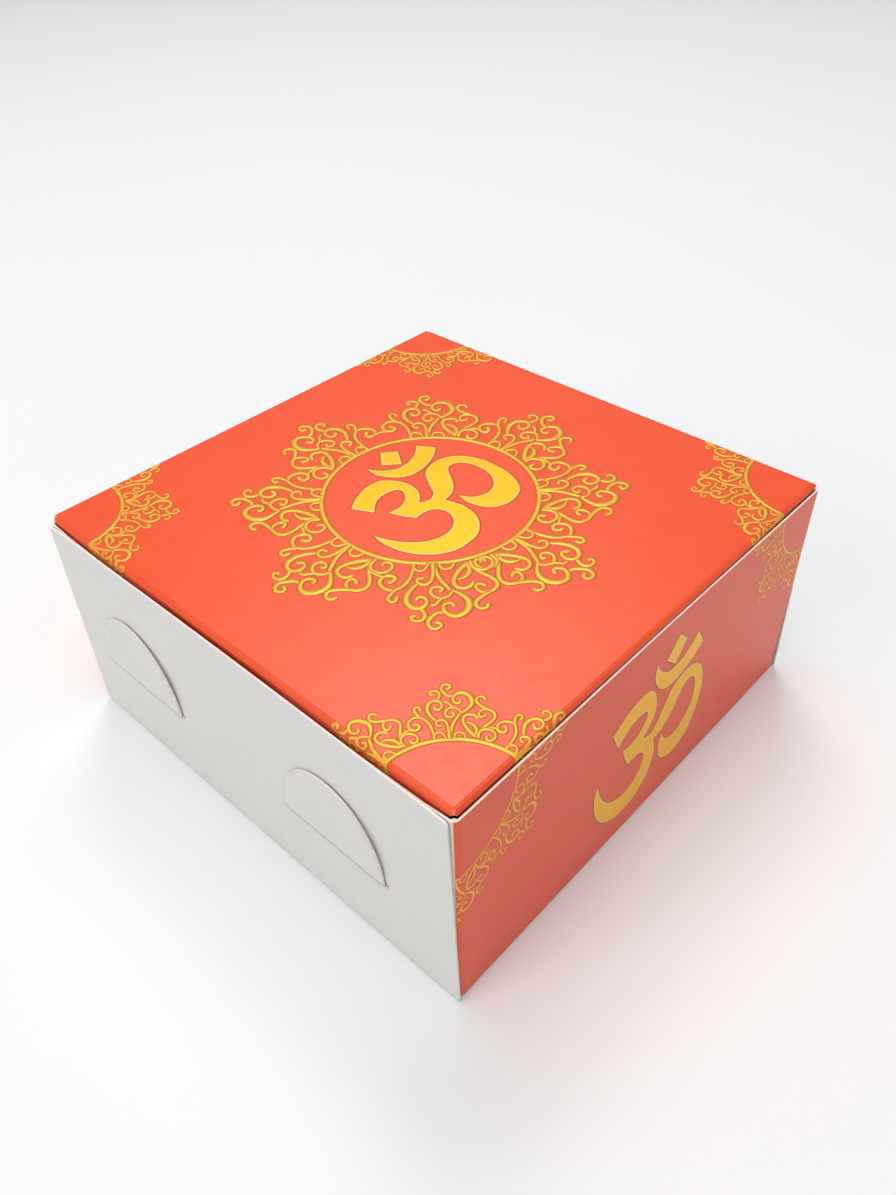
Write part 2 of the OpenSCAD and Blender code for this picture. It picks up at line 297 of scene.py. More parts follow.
# %% Sections
def section(s, start, heading, *legs):
    """The board's outer face from distance s on. Legs are ("run", length) or ("turn", radius, degrees)."""
    spans = []
    a, b = start
    h = math.radians(heading)
    for kind, size, *angle in legs:
        turn = math.radians(angle[0]) if angle else 0.0
        length = size * turn if angle else size
        spans.append((s, s + length, a, b, h, size if angle else 0.0))
        if angle:
            centre = (a + size * math.sin(h), b - size * math.cos(h))
            h -= turn
            a, b = centre[0] - size * math.sin(h), centre[1] + size * math.cos(h)
        else:
            a, b = a + size * math.cos(h), b + size * math.sin(h)
        s += length

    def at(distance, depth):
        s0, s1, a, b, h, radius = next((span for span in spans if distance <= span[1] + 1e-6), spans[-1])
        if radius:
            c = (a + radius * math.sin(h), b - radius * math.cos(h))
            h -= (distance - s0) / radius
            return c[0] - (radius - depth) * math.sin(h), c[1] + (radius - depth) * math.cos(h)
        run = distance - s0
        return a + run * math.cos(h) + depth * math.sin(h), b + run * math.sin(h) - depth * math.cos(h)

    at.spans = [(span[0], span[1], span[5]) for span in spans]
    return at


def arc_length(radius, degrees):
    return radius * math.radians(degrees)


TUCK_ARC = arc_length(FOLD_R, 90 + TUCK_LEAN)
SIDE_ARC = arc_length(FOLD_R, 90 + SIDE_FLAP_LEAN)
QUARTER = arc_length(FOLD_R, 90)


def flap_tip(fold, flap_h, lean):
    """Where a lid flap's free edge lies, for a fold whose axis is at fold."""
    h = math.radians(90 + lean)
    root = (fold[0] - FOLD_R * math.sin(h), fold[1] + FOLD_R * math.cos(h))
    return root[0] - flap_h * math.cos(h), root[1] - flap_h * math.sin(h)


# Y and Z, from the tuck flap's tip over the lid, down the back, under the base and up the front.
# On the lid the distance along the board is simply Y.
LENGTHWISE = section(
    LID_FOLD_Y - TUCK_ARC - TUCK_H, flap_tip((LID_FOLD_Y, LID_FOLD_Z), TUCK_H, TUCK_LEAN), 90 + TUCK_LEAN,
    ("run", TUCK_H), ("turn", FOLD_R, 90 + TUCK_LEAN), ("run", HINGE_Y - LID_FOLD_Y),
    ("turn", FOLD_R, 90), ("run", BOX_H - 2 * FOLD_R), ("turn", FOLD_R, 90), ("run", BOX_D - 2 * FOLD_R),
    ("turn", FOLD_R, 90), ("run", FRONT_TOP - FOLD_R))
# X and Z, from the left flap's tip over the lid to the right flap's tip. On the lid it is simply X.
CROSSWISE = section(
    -LID_FOLD_X - SIDE_ARC - SIDE_FLAP_H, flap_tip((-LID_FOLD_X, LID_FOLD_Z), SIDE_FLAP_H, SIDE_FLAP_LEAN),
    90 + SIDE_FLAP_LEAN, ("run", SIDE_FLAP_H), ("turn", FOLD_R, 90 + SIDE_FLAP_LEAN),
    ("run", 2 * LID_FOLD_X), ("turn", FOLD_R, 90 + SIDE_FLAP_LEAN), ("run", SIDE_FLAP_H))
# X and Z, from the base up the left side wall. On the wall it is simply Z.
SIDEWISE = section(FOLD_R - QUARTER, (FOLD_R - BOX_W / 2, 0.0), 180,
                   ("turn", FOLD_R, 90), ("run", SIDE_TOP - FOLD_R))
# X and Y in plan, round the front left fold, along the left side and round the back left fold.
# Along the side it is simply Y.
CORNER_ARC = arc_length(CORNER_FOLD_R, 90)
CORNER_START = BOX_D / 2 - CORNER_FOLD_R
ROUND = section(-CORNER_START - CORNER_ARC, (-WALL_HALF_W, -BOX_D / 2), 180,
                ("turn", CORNER_FOLD_R, 90), ("run", 2 * CORNER_START), ("turn", CORNER_FOLD_R, 90))
# X and Z, out through the slit and up the tab. On the tab it is simply Z.
TONGUE = 0.9
TAB_START = TAB_Z + BOARD - QUARTER
TABWISE = section(TAB_START - TONGUE, (TONGUE - TAB_FOLD_X, TAB_Z - BOARD), 180,
                  ("run", TONGUE), ("turn", FOLD_R, 90), ("run", TAB_H))
# The stretches of the strip, each as (start, end, radius of the fold or 0)
TUCK, TUCK_FOLD, LID, HINGE, BACK, BACK_FOOT, BASE, FRONT_FOOT, FRONT = LENGTHWISE.spans
print("the strip from tuck flap to front wall is", round(FRONT[1] - TUCK[0], 1), "mm")

# %% [markdown]
# ## Placing a sheet in the room
# A section lives in a plane; the other direction of the flat sheet runs straight across it. These small
# functions say which axes those are, mirror a left piece to the right, and add the slight bow that thin
# board always has. The bow is a fraction of a millimetre, but light on satin print shows it at once.


# %% Placements
def laid(axis, at, bow=lambda s, t: 0.0):
    """Lays a section across an axis of the room, its face pushed outward by bow(distance, across)."""
    def place(s, t, n):
        point = list(at(s, n - bow(s, t)))
        point.insert(axis, t)
        return Vector(point)
    return place


def mirrored(place):
    """The same piece on the right side of the box."""
    def turned(s, t, n):
        point = place(s, t, n)
        return Vector((-point.x, point.y, point.z))
    return turned


def share_of(value, low, high):
    """0 up to low and 1 from high on, straight between."""
    return min(max((value - low) / (high - low), 0.0), 1.0)


def hump(value, low, high):
    """0 at low and high, 1 halfway, smooth."""
    return math.sin(math.pi * share_of(value, low, high)) ** 2


# %% Bows
LID_DIP = 0.22
# The front wall leans in at its top, a side wall between its tabs, and a side wall's free corners turn out
WALL_LEAN, CORNER_CURL, CURL_LENGTH = 0.3, 0.3, 9.0
# A tab presses the wall in along the front of its arc, over these widths before and behind the arc
TAB_DENT, DENT_BEFORE, DENT_BEHIND = 0.62, 2.4, 1.6


def lid_bow(s, t):
    """The lid dips a little in the middle, and lies LID_SINK under the CAD box up to the hinge crease."""
    dip = LID_DIP * hump(s, LID_FOLD_Y, HINGE_Y) * hump(t, -LID_FOLD_X, LID_FOLD_X)
    back = share_of(s, HINGE_Y, HINGE_Y + QUARTER)
    return -LID_SINK * (1 - back) - dip


def front_bow(s, t):
    """The front wall leans in slightly between its corners, more towards its free top edge."""
    return -WALL_LEAN * share_of(s, FRONT[0], FRONT[1]) * hump(t, -WALL_HALF_W, WALL_HALF_W)


def side_bow(s, t):
    """The side wall leans in a little between its tabs, its free top corners turn outward, and the tabs
    press it in along the front of their arcs, where a soft shadow shows."""
    end = share_of(abs(t), SIDE_END - CURL_LENGTH, SIDE_END)
    # Half the tab's width at this height, taken as an ellipse
    half = TAB_W / 2 * math.sqrt(1 - share_of(s, TAB_Z, TAB_Z + TAB_H) ** 2)
    dent = 0.0
    for middle in (FRONT_TAB_Y, BACK_TAB_Y):
        beside = t - (middle - half)
        beside /= DENT_BEHIND if beside > 0 else DENT_BEFORE
        dent += TAB_DENT * math.exp(-beside ** 2) * hump(s, TAB_Z - 2.0, TAB_Z + TAB_H + 5.0)
    curl = CORNER_CURL * end ** 2 - WALL_LEAN * hump(t, -SIDE_END, SIDE_END)
    return share_of(s, FOLD_R, SIDE_TOP) ** 2 * curl - dent


# %% [markdown]
# ## Flat outlines
# Outlines are drawn on the flat sheet. A list of corners with a radius each covers the panels, and two
# joined arcs make the half-moon of a lock tab. Straight board edges need no more points than that.


# %% Outlines
def rounded(corners, step=7.5):
    """Corners are (s, t, radius); each radius becomes an arc of short steps of `step` degrees."""
    outline = []
    for i, (s, t, radius) in enumerate(corners):
        corner = Vector((s, t))
        if radius <= 0:
            outline.append(corner)
            continue
        back = (Vector(corners[i - 1][:2]) - corner).normalized()
        ahead = (Vector(corners[(i + 1) % len(corners)][:2]) - corner).normalized()
        half = back.angle(ahead) / 2
        centre = corner + (back + ahead).normalized() * (radius / math.sin(half))
        first = (corner + back * (radius / math.tan(half)) - centre)
        sweep = math.pi - 2 * half
        if back.cross(ahead) > 0:
            sweep = -sweep
        count = max(2, round(abs(math.degrees(sweep)) / step))
        outline += [centre + Matrix.Rotation(sweep * k / count, 2) @ first for k in range(count + 1)]
    return outline


def half_moon(middle, foot=0.0, step=4.0):
    """Outline of a tab, as (height, along), from foot above its chord: a crown and an arc down each side."""
    crown = TAB_H - TAB_CROWN_R
    half = TAB_W / 2
    side_r = (half ** 2 + crown ** 2 - TAB_CROWN_R ** 2) / (2 * (half - TAB_CROWN_R))
    join = math.atan2(crown, side_r - half)
    low = math.asin(foot / side_r)
    right = []
    count = round(math.degrees(join - low) / step)
    for k in range(count):
        angle = low + (join - low) * k / count
        right.append((side_r * math.cos(angle) - (side_r - half), side_r * math.sin(angle)))
    count = round(math.degrees(math.pi / 2 - join) / step) + 1
    for k in range(count + 1):
        angle = join + (math.pi / 2 - join) * k / count
        right.append((TAB_CROWN_R * math.cos(angle), crown + TAB_CROWN_R * math.sin(angle)))
    outline = right + [(-y, z) for y, z in reversed(right[:-1])]
    return [Vector((TAB_Z + z, middle + y)) for y, z in outline]


def slot_outline(middle):
    """A slit in a side wall, with small round ends where the die starts and stops."""
    low, high, half = TAB_Z - BOARD - SLIT_GAP, TAB_Z + SLIT_GAP, TAB_W / 2 + SLIT_RUN_OUT
    corners = ((low, -half), (low, half), (high, half), (high, -half))
    return rounded([(s, middle + t, SLIT_R) for s, t in corners], 30)


# %% [markdown]
# ## From a flat outline to a closed sheet
# The outline is filled, cut into a grid that is finer at the folds, and then every point is sent through
# the placement twice: once for the outer face and once for the inner face. The rim between the two is
# the cut edge, with its own material. Two distances are stored for the shaders on the way, to the nearest
# fold and to the nearest cut edge. Solidify could give the thickness too, but this way the thickness is
# exact in the folds and each face knows which side of the board it is.


# %% Flat meshes
FLAT_STEP, TURN_STEP = 6.0, 0.16
# Extra rows this far from a fold, and extra columns this far from the ends of a sheet
BESIDE_FOLD = (0.3, 0.9, 2.0)
BESIDE_END = (0.3, 1.0, 2.5)


def flat_sheet(outline, holes=()):
    """A flat filled outline as a bmesh, in mm."""
    loops = [[Vector((p[0], p[1], 0.0)) for p in loop] for loop in (outline, *holes)]
    points = [p for loop in loops for p in loop]
    bm = bmesh.new()
    verts = [bm.verts.new(p) for p in points]
    if holes:
        for triangle in tessellate_polygon(loops):
            bm.faces.new([verts[i] for i in triangle])
        bmesh.ops.dissolve_limit(bm, angle_limit=0.01, verts=bm.verts, edges=bm.edges)
    else:
        bm.faces.new(verts)
    return bm


def cut_lines(bm, rows=(), columns=()):
    """Cuts a flat mesh along lines of constant s and constant t."""
    for axis, values in ((Vector((1, 0, 0)), rows), (Vector((0, 1, 0)), columns)):
        for value in values:
            geometry = bm.verts[:] + bm.edges[:] + bm.faces[:]
            bmesh.ops.bisect_plane(bm, geom=geometry, dist=1e-5, plane_co=axis * value, plane_no=axis)


def keep_between(bm, axis, low, high):
    """Cuts away what lies outside low..high on an axis."""
    for value, sign in ((low, -1), (high, 1)):
        geometry = bm.verts[:] + bm.edges[:] + bm.faces[:]
        bmesh.ops.bisect_plane(bm, geom=geometry, dist=1e-5, plane_co=axis * value, plane_no=axis * sign,
                               clear_outer=True)


def spread(low, high, step):
    """Evenly spaced values strictly between low and high, at most step apart."""
    count = max(1, math.ceil((high - low) / step))
    return [low + (high - low) * k / count for k in range(1, count)]


def fold_rows(at, low, high):
    """Rows for a stretch of a section: close together in and beside its turns, wide apart on its runs."""
    rows = []
    for s0, s1, radius in at.spans:
        a, b = max(s0, low), min(s1, high)
        if b - a > 1e-6:
            rows += [a, b] + spread(a, b, TURN_STEP if radius else FLAT_STEP)
            if not radius:
                rows += [value for edge in (a, b) for offset in BESIDE_FOLD
                         for value in (edge + offset, edge - offset) if a < value < b]
    return sorted({round(row, 5) for row in rows if low + 1e-4 < row < high - 1e-4})


# %% Closed sheets
# Distances for the shaders are stored up to this many mm
FAR = 5.0
# An edge with both ends this close to a joint is no cut edge
JOINT_GAP = 0.02


def distance_to(point, a, b):
    """Distance from a flat point to the stretch between a and b."""
    along = b - a
    share = max(0.0, min(1.0, (point - a).dot(along) / max(along.length_squared, 1e-12)))
    return (point - a - along * share).length


def closed_sheet(name, parts, body=None):
    """Joins parts into one object. A part is (flat bmesh, place, front, back, finish, numbers): its two faces
    lie front and back mm in from the board's outer face; finish(side, s) names a face's material, with side
    "outer", "inner" or "edge"; numbers gives the attributes of each flat vertex."""
    points, faces, owners, soft, stored, materials = [], [], [], [], {}, []
    for flat, place, front, back, finish, numbers in parts:
        flat.verts.index_update()
        first, count = len(points), len(flat.verts)
        points += [place(v.co.x, v.co.y, front - v.co.z) for v in flat.verts]
        points += [place(v.co.x, v.co.y, back) for v in flat.verts]
        for key, values in numbers.items():
            stored.setdefault(key, {}).update({first + i: x for i, x in enumerate(values + values)})
        for face in flat.faces:
            loop = [first + v.index for v in face.verts]
            middle = face.calc_center_median().x
            for side, indices in (("outer", loop), ("inner", [i + count for i in reversed(loop)])):
                faces.append(indices)
                owners.append(finish(side, middle))
                soft.append(True)
            for corner in face.loops:
                if len(corner.edge.link_faces) == 1:
                    a, b = first + corner.vert.index, first + corner.link_loop_next.vert.index
                    faces.append([b, a, a + count, b + count])
                    owners.append(finish("edge", middle))
                    soft.append(False)
        flat.free()
    mesh = bpy.data.meshes.new(name)
    mesh.from_pydata([p * MM for p in points], [], faces)
    for material in owners:
        if material not in materials:
            materials.append(material)
            mesh.materials.append(material)
    mesh.polygons.foreach_set("material_index", [materials.index(m) for m in owners])
    mesh.polygons.foreach_set("use_smooth", soft)
    for key, values in stored.items():
        layer = mesh.attributes.new(key, "FLOAT", "POINT")
        layer.data.foreach_set("value", [values.get(i, FAR) for i in range(len(points))])
    turn_outward(mesh)
    piece = bpy.data.objects.new(name, mesh)
    bpy.context.scene.collection.objects.link(piece)
    if body:
        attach(piece, body)
    return piece


def turn_outward(mesh):
    """Faces of a closed mesh point out, whichever way it was mirrored."""
    bm = bmesh.new()
    bm.from_mesh(mesh)
    bmesh.ops.recalc_face_normals(bm, faces=bm.faces)
    bm.to_mesh(mesh)
    bm.free()


def board_part(outline, at, place, holes=(), finish=None, extra_rows=(), column_step=FLAT_STEP, score=None,
               joints=()):
    """A part for closed_sheet: the board itself, with its thickness and its distances. joints are the values
    of s or t where the sheet runs on in the next one, as it does at the folds inside a section."""
    def joined(a, b):
        return any(max(abs(a[k] - joint), abs(b[k] - joint)) < JOINT_GAP for k in (0, 1) for joint in inner)

    bm = flat_sheet(outline, holes)
    low, high = min(p[0] for p in outline), max(p[0] for p in outline)
    left, right = min(p[1] for p in outline), max(p[1] for p in outline)
    margin = [left + d for d in BESIDE_END] + [right - d for d in BESIDE_END]
    cut_lines(bm, fold_rows(at, low, high) + list(extra_rows), margin + spread(left, right, column_step))
    inner = [*joints, *(s1 for s0, s1, radius in at.spans[:-1])]
    edges = [(Vector(loop[i - 1][:2]), Vector(p[:2])) for loop in (outline, *holes)
             for i, p in enumerate(loop) if not joined(loop[i - 1], p)]
    folds = [s for s0, s1, radius in at.spans if radius for s in (s0, s1)]
    # Distance to a line of painted shade, given as a value of s
    scores = [] if score is None else [score]
    flat = [v.co.xy for v in bm.verts]
    numbers = {"edge_mm": [min([FAR] + [distance_to(p, a, b) for a, b in edges]) for p in flat],
               "fold_mm": [min([FAR] + [abs(p.x - s) for s in folds]) for p in flat],
               "score_mm": [min([FAR] + [abs(p.x - s) for s in scores]) for p in flat]}
    return bm, place, 0.0, BOARD, finish or plain(WHITE), numbers


def plain(outer, inner=None, edge=None):
    """Finish of a sheet with one outer material."""
    sides = {"outer": outer, "inner": inner or INNER, "edge": edge or CUT}
    return lambda side, s: sides[side]


# %% [markdown]
# ## Scrollwork drawn as strokes
# The ornament is a mandala of scrolls, a pattern found on boxes and fabrics everywhere. A picture of it
# could be projected on the lid, but that would have no line that stays sharp, so it is drawn as a sign
# writer would: each stroke is a short row of points, each with half the width of the brush there, and a
# smooth curve runs through them. One lobe is drawn once, in ring radii, and repeated round its ring.
# Every point is (across, out from the ring's centre, half width) in thousandths of the ring's radius.

# %% Strokes of one lobe
LOBE_STROKES = {
    "tip_curl": [(110, 1635, 13), (60, 1635, 17), (15, 1675, 19), (-20, 1740, 18), (-5, 1800, 17),
                 (40, 1825, 16), (82, 1795, 15), (75, 1760, 16), (52, 1752, 19)],
    "tip_hook": [(-95, 1575, 13), (-60, 1615, 18), (-45, 1665, 18), (-65, 1715, 16), (-110, 1730, 15),
                 (-150, 1710, 15), (-155, 1680, 16), (-135, 1670, 18)],
    "thick_scroll": [(185, 1370, 13), (245, 1415, 18), (300, 1480, 25), (310, 1560, 27), (275, 1640, 25),
                     (200, 1680, 22), (135, 1650, 19), (100, 1585, 17), (120, 1530, 16), (165, 1520, 16),
                     (183, 1548, 20)],
    "facing_scroll": [(-115, 1285, 14), (-160, 1345, 19), (-195, 1430, 23), (-185, 1520, 23),
                      (-130, 1572, 20), (-70, 1570, 18), (-32, 1520, 17), (-40, 1460, 16), (-85, 1435, 16),
                      (-115, 1465, 20)],
    "heart_curl": [(175, 1385, 12), (150, 1430, 15), (95, 1460, 16), (35, 1440, 16), (0, 1385, 16),
                   (15, 1330, 15), (60, 1315, 14), (100, 1345, 14), (82, 1370, 18)],
    "heart_link": [(5, 1545, 12), (40, 1535, 15), (65, 1495, 14), (95, 1460, 12)],
    "right_stem": [(30, 1020, 20), (45, 1110, 18), (75, 1210, 18), (125, 1300, 17), (155, 1350, 16)],
    "left_stem": [(20, 1020, 18), (20, 1120, 16), (10, 1220, 16), (-25, 1275, 16), (-75, 1280, 16),
                  (-110, 1245, 15), (-100, 1205, 15), (-68, 1198, 18)],
    "left_scroll": [(-140, 1020, 16), (-150, 1110, 15), (-175, 1210, 17), (-225, 1295, 17), (-300, 1345, 16),
                    (-375, 1320, 17), (-420, 1250, 18), (-395, 1175, 18), (-335, 1155, 18), (-290, 1190, 18),
                    (-315, 1235, 17), (-338, 1243, 19)],
    "left_bud": [(-285, 1345, 13), (-325, 1400, 17), (-345, 1455, 16), (-315, 1495, 15), (-280, 1475, 16),
                 (-275, 1445, 18)],
    "inner_scroll": [(305, 1020, 22), (250, 1090, 21), (205, 1180, 20), (190, 1260, 19), (215, 1320, 18),
                     (275, 1340, 18), (325, 1320, 18), (345, 1280, 20)],
    "right_scroll": [(440, 1305, 19), (405, 1288, 15), (370, 1310, 15), (385, 1365, 16), (435, 1400, 16),
                     (500, 1385, 17), (545, 1325, 18), (540, 1260, 18), (490, 1200, 18), (420, 1145, 18),
                     (360, 1080, 18), (335, 1010, 18)],
    "leaf": [(225, 1225, 6), (275, 1205, 16), (315, 1155, 20), (325, 1090, 18), (305, 1030, 12)],
    "right_bud": [(475, 1405, 13), (420, 1445, 18), (370, 1505, 18), (365, 1560, 17), (405, 1598, 16),
                  (450, 1585, 16), (462, 1550, 18)],
    "ring_curl": [(335, 1000, 18), (352, 1065, 17), (410, 1105, 17), (475, 1095, 17), (520, 1040, 16),
                  (515, 970, 16), (465, 935, 15), (420, 955, 15), (425, 995, 18)],
    "left_bead": [(-140, 1060, 12), (-110, 1100, 14), (-60, 1095, 14), (-30, 1050, 13), (-20, 1010, 12)],
    "right_bead": [(75, 1020, 13), (90, 1070, 14), (135, 1090, 14), (180, 1065, 14), (195, 1010, 13)],
    "bridge": [(-400, 1165, 12), (-450, 1140, 14), (-495, 1100, 12)],
}
# The whole lobe leans this much to the left of its axis
LOBE_LEAN = 1.5
# Each stroke lies this much above the one before, in ring radii, so that no two share a plane
STROKE_STEP = 0.00001


# %% Smooth strokes
def smooth(points, per_span=4):
    """A Catmull-Rom curve through points of any dimension."""
    padded = [[2 * a - b for a, b in zip(points[0], points[1])], *points,
              [2 * a - b for a, b in zip(points[-1], points[-2])]]
    curve = []
    for p0, p1, p2, p3 in zip(padded, padded[1:], padded[2:], padded[3:]):
        for k in range(per_span):
            u = k / per_span
            curve.append([0.5 * (2 * b + (c - a) * u + (2 * a - 5 * b + 4 * c - d) * u * u
                                 + (3 * b - a - 3 * c + d) * u ** 3) for a, b, c, d in zip(p0, p1, p2, p3)])
    return curve + [list(points[-1])]


def round_ended(stroke):
    """Adds a half round at both ends of a stroke of (x, y, half width)."""
    done = stroke
    for end, step in ((0, 1), (-1, -1)):
        x, y, width = stroke[end]
        back = Vector((x - stroke[end + step][0], y - stroke[end + step][1])).normalized() * width
        cap = [(x + back.x * math.sin(a), y + back.y * math.sin(a), width * math.cos(a))
               for a in (math.radians(30), math.radians(60), math.radians(85))]
        done = cap[::-1] + done if end == 0 else done + cap
    return done


def stroke_mesh(name, strokes, closed=False):
    """Strokes as lines of points in one mesh, with the half width stored as brush."""
    points, edges, brush = [], [], []
    for order, stroke in enumerate(strokes):
        first = len(points)
        points += [(x, y, order * STROKE_STEP) for x, y, width in stroke]
        brush += [width for x, y, width in stroke]
        edges += [(first + i, first + i + 1) for i in range(len(stroke) - 1)]
        if closed:
            edges.append((len(points) - 1, first))
    mesh = bpy.data.meshes.new(name)
    mesh.from_pydata(points, edges, [])
    mesh.attributes.new("brush", "FLOAT", "POINT").data.foreach_set("value", brush)
    drawing = bpy.data.objects.new(name, mesh)
    bpy.context.scene.collection.objects.link(drawing)
    return drawing


def lobe_strokes():
    """The lobe in ring radii, leaning as drawn."""
    lean = Matrix.Rotation(math.radians(LOBE_LEAN), 2)
    strokes = []
    for points in LOBE_STROKES.values():
        stroke = round_ended(smooth([[c / 1000 for c in point] for point in points]))
        strokes.append([(*(lean @ Vector((x, y))), width) for x, y, width in stroke])
    return strokes


print("strokes in a lobe:", len(LOBE_STROKES), "points:", sum(len(s) for s in lobe_strokes()))

# %% [markdown]
# ## Scrollwork round a ring, in Geometry Nodes
# The lobe repeats at equal angles, some of them as mirror images, and a ring runs through their feet.
# That is a rule, so Geometry Nodes carries it: the strokes become ribbons as wide as the brush, one
# lobe is put on each point of a circle of directions, and the ring is one more ribbon. The same tree
# draws the gold and, with some extra width, the brown keyline under it.


# %% The tree
def scrollwork_tree():
    """Ribbons of the strokes, repeated round a ring; the sizes are in mm and the angles in degrees."""
    tree = bpy.data.node_groups.new("scrollwork_round_a_ring", "GeometryNodeTree")
    inputs = (("Geometry", "Geometry", None), ("Ring Radius", "Float", 30.3), ("Ring Line", "Float", 0.7),
              ("Brush Size", "Float", 1.0), ("Extra Width", "Float", 0.0), ("Lift", "Float", 0.018),
              ("Lobes", "Int", 8), ("Mirrored", "Int", 4), ("First Angle", "Float", 90.0),
              ("Step Angle", "Float", 45.0), ("Centre", "Vector", None), ("Ink", "Material", None))
    for name, kind, value in inputs:
        socket = tree.interface.new_socket(name, in_out="INPUT", socket_type="NodeSocket" + kind)
        if value is not None:
            socket.default_value = value
    tree.interface.new_socket("Geometry", in_out="OUTPUT", socket_type="NodeSocketGeometry")
    node = partial(add, tree)
    given = node("NodeGroupInput").outputs

    # Brush profile: a line from -1 to 1 that stores how deep each point is below the rim
    line = node("GeometryNodeCurvePrimitiveLine", {"Start": (-1, 0, 0), "End": (1, 0, 0)})
    line = node("GeometryNodeSubdivideCurve", {"Curve": line, "Cuts": 1})
    across = node("ShaderNodeSeparateXYZ", {0: node("GeometryNodeInputPosition")}).outputs["X"]
    off_axis = node("ShaderNodeMath", {0: across}, operation="ABSOLUTE")
    depth = node("ShaderNodeMath", {0: 1.0, 1: off_axis}, operation="SUBTRACT")
    profile = node("GeometryNodeStoreNamedAttribute", {"Geometry": line, "Name": "depth", "Value": depth})

    # The lobe's strokes, scaled from ring radii to millimetres, as ribbons
    strokes = node("GeometryNodeMeshToCurve", {"Mesh": given["Geometry"]})
    place = node("GeometryNodeInputPosition")
    scaled = node("ShaderNodeVectorMath", {0: place, "Scale": given["Ring Radius"]}, operation="SCALE")
    strokes = node("GeometryNodeSetPosition", {"Geometry": strokes, "Position": scaled})
    brush = node("GeometryNodeInputNamedAttribute", {"Name": "brush"})
    brush = node("ShaderNodeMath", {0: brush, 1: given["Brush Size"]}, operation="MULTIPLY")
    width = node("ShaderNodeMath", {0: brush, 1: given["Ring Radius"], 2: given["Extra Width"]},
                 operation="MULTIPLY_ADD")
    ring_width = node("ShaderNodeMath", {0: given["Ring Line"], 1: given["Extra Width"]}, operation="ADD")
    ring = node("GeometryNodeCurvePrimitiveCircle", {"Resolution": 240, "Radius": given["Ring Radius"]})
    wanted = node("ShaderNodeMath", {0: given["Ring Line"], 1: 0.0}, operation="GREATER_THAN")
    ring = node("GeometryNodeSwitch", {"Switch": wanted, "True": ring}, input_type="GEOMETRY")
    ribbons = []
    for curve, half_width in ((strokes, width), (ring, ring_width)):
        curve = node("GeometryNodeStoreNamedAttribute",
                     {"Geometry": curve, "Name": "width", "Value": half_width})
        curve = node("GeometryNodeSetCurveNormal", {"Curve": curve}, mode="Z_UP")
        stored = [node("GeometryNodeInputNamedAttribute", {"Name": name}) for name in ("width", "depth")]
        ribbon = node("GeometryNodeCurveToMesh",
                      {"Curve": curve, "Profile Curve": profile, "Scale": stored[0]})
        rim = node("ShaderNodeMath", {0: stored[0], 1: stored[1]}, operation="MULTIPLY")
        ribbons.append(node("GeometryNodeStoreNamedAttribute",
                            {"Geometry": ribbon, "Name": "rim_mm", "Value": rim}))

    # One lobe in each direction; the first ones are mirror images, and every second one lies 0.008 mm higher
    index = node("GeometryNodeInputIndex")
    points = node("GeometryNodePoints", {"Count": given["Lobes"]})
    angle = node("ShaderNodeMath", {0: index, 1: given["Step Angle"], 2: given["First Angle"]},
                 operation="MULTIPLY_ADD")
    angle = node("ShaderNodeMath", {0: angle, 1: 90.0}, operation="SUBTRACT")
    angle = node("ShaderNodeMath", {0: angle}, operation="RADIANS")
    turn = node("ShaderNodeCombineXYZ", {"Z": angle})
    mirror_image = node("ShaderNodeMath", {0: index, 1: given["Mirrored"]}, operation="LESS_THAN")
    hand = node("ShaderNodeMath", {0: mirror_image, 1: -2.0, 2: 1.0}, operation="MULTIPLY_ADD")
    scale = node("ShaderNodeCombineXYZ", {"X": hand, "Y": 1.0, "Z": 1.0})
    lobes = node("GeometryNodeInstanceOnPoints",
                 {"Points": points, "Instance": ribbons[0], "Rotation": turn, "Scale": scale})
    odd = node("ShaderNodeMath", {0: index, 1: 2.0}, operation="MODULO")
    higher = node("ShaderNodeMath", {0: odd, 1: 0.008, 2: 0.003}, operation="MULTIPLY_ADD")
    lobes = node("GeometryNodeTranslateInstances",
                 {"Instances": lobes, "Translation": node("ShaderNodeCombineXYZ", {"Z": higher})})
    whole = node("GeometryNodeJoinGeometry", {0: lobes})
    tree.links.new(ribbons[1].outputs[0], whole.inputs[0])
    lift = node("ShaderNodeCombineXYZ", {"Z": given["Lift"]})
    centre = node("ShaderNodeVectorMath", {0: lift, 1: given["Centre"]}, operation="ADD")
    whole = node("GeometryNodeTransform", {"Geometry": whole, "Translation": centre})
    real = node("GeometryNodeRealizeInstances", {"Geometry": whole})
    inked = node("GeometryNodeSetMaterial", {"Geometry": real, "Material": given["Ink"]})
    node("NodeGroupOutput", {0: inked})
    return tree


SCROLLWORK = scrollwork_tree()


# %% Drawing with the tree
def drawn(drawing, tree, **values):
    """The tree's result on a drawing, as a plain mesh in mm. The inputs' names have _ for a space."""
    modifier = drawing.modifiers.new(tree.name, "NODES")
    modifier.node_group = tree
    for item in tree.interface.items_tree:
        value = values.get(item.name.replace(" ", "_"))
        if value is not None:
            modifier[item.identifier] = value
    graph = bpy.context.evaluated_depsgraph_get()
    mesh = bpy.data.meshes.new_from_object(drawing.evaluated_get(graph))
    drawing.modifiers.remove(modifier)
    return mesh


# Heights of the two inks above the board, in mm
KEYLINE_LIFT, GOLD_LIFT = 0.008, 0.018
# The printed keyline is set a touch towards the front left, so that it paints shade along the gold's
# front-left edges, as an embossed edge would be shaded
KEYLINE_SHADE_SHIFT = Vector((-0.05, -0.05, 0.0))


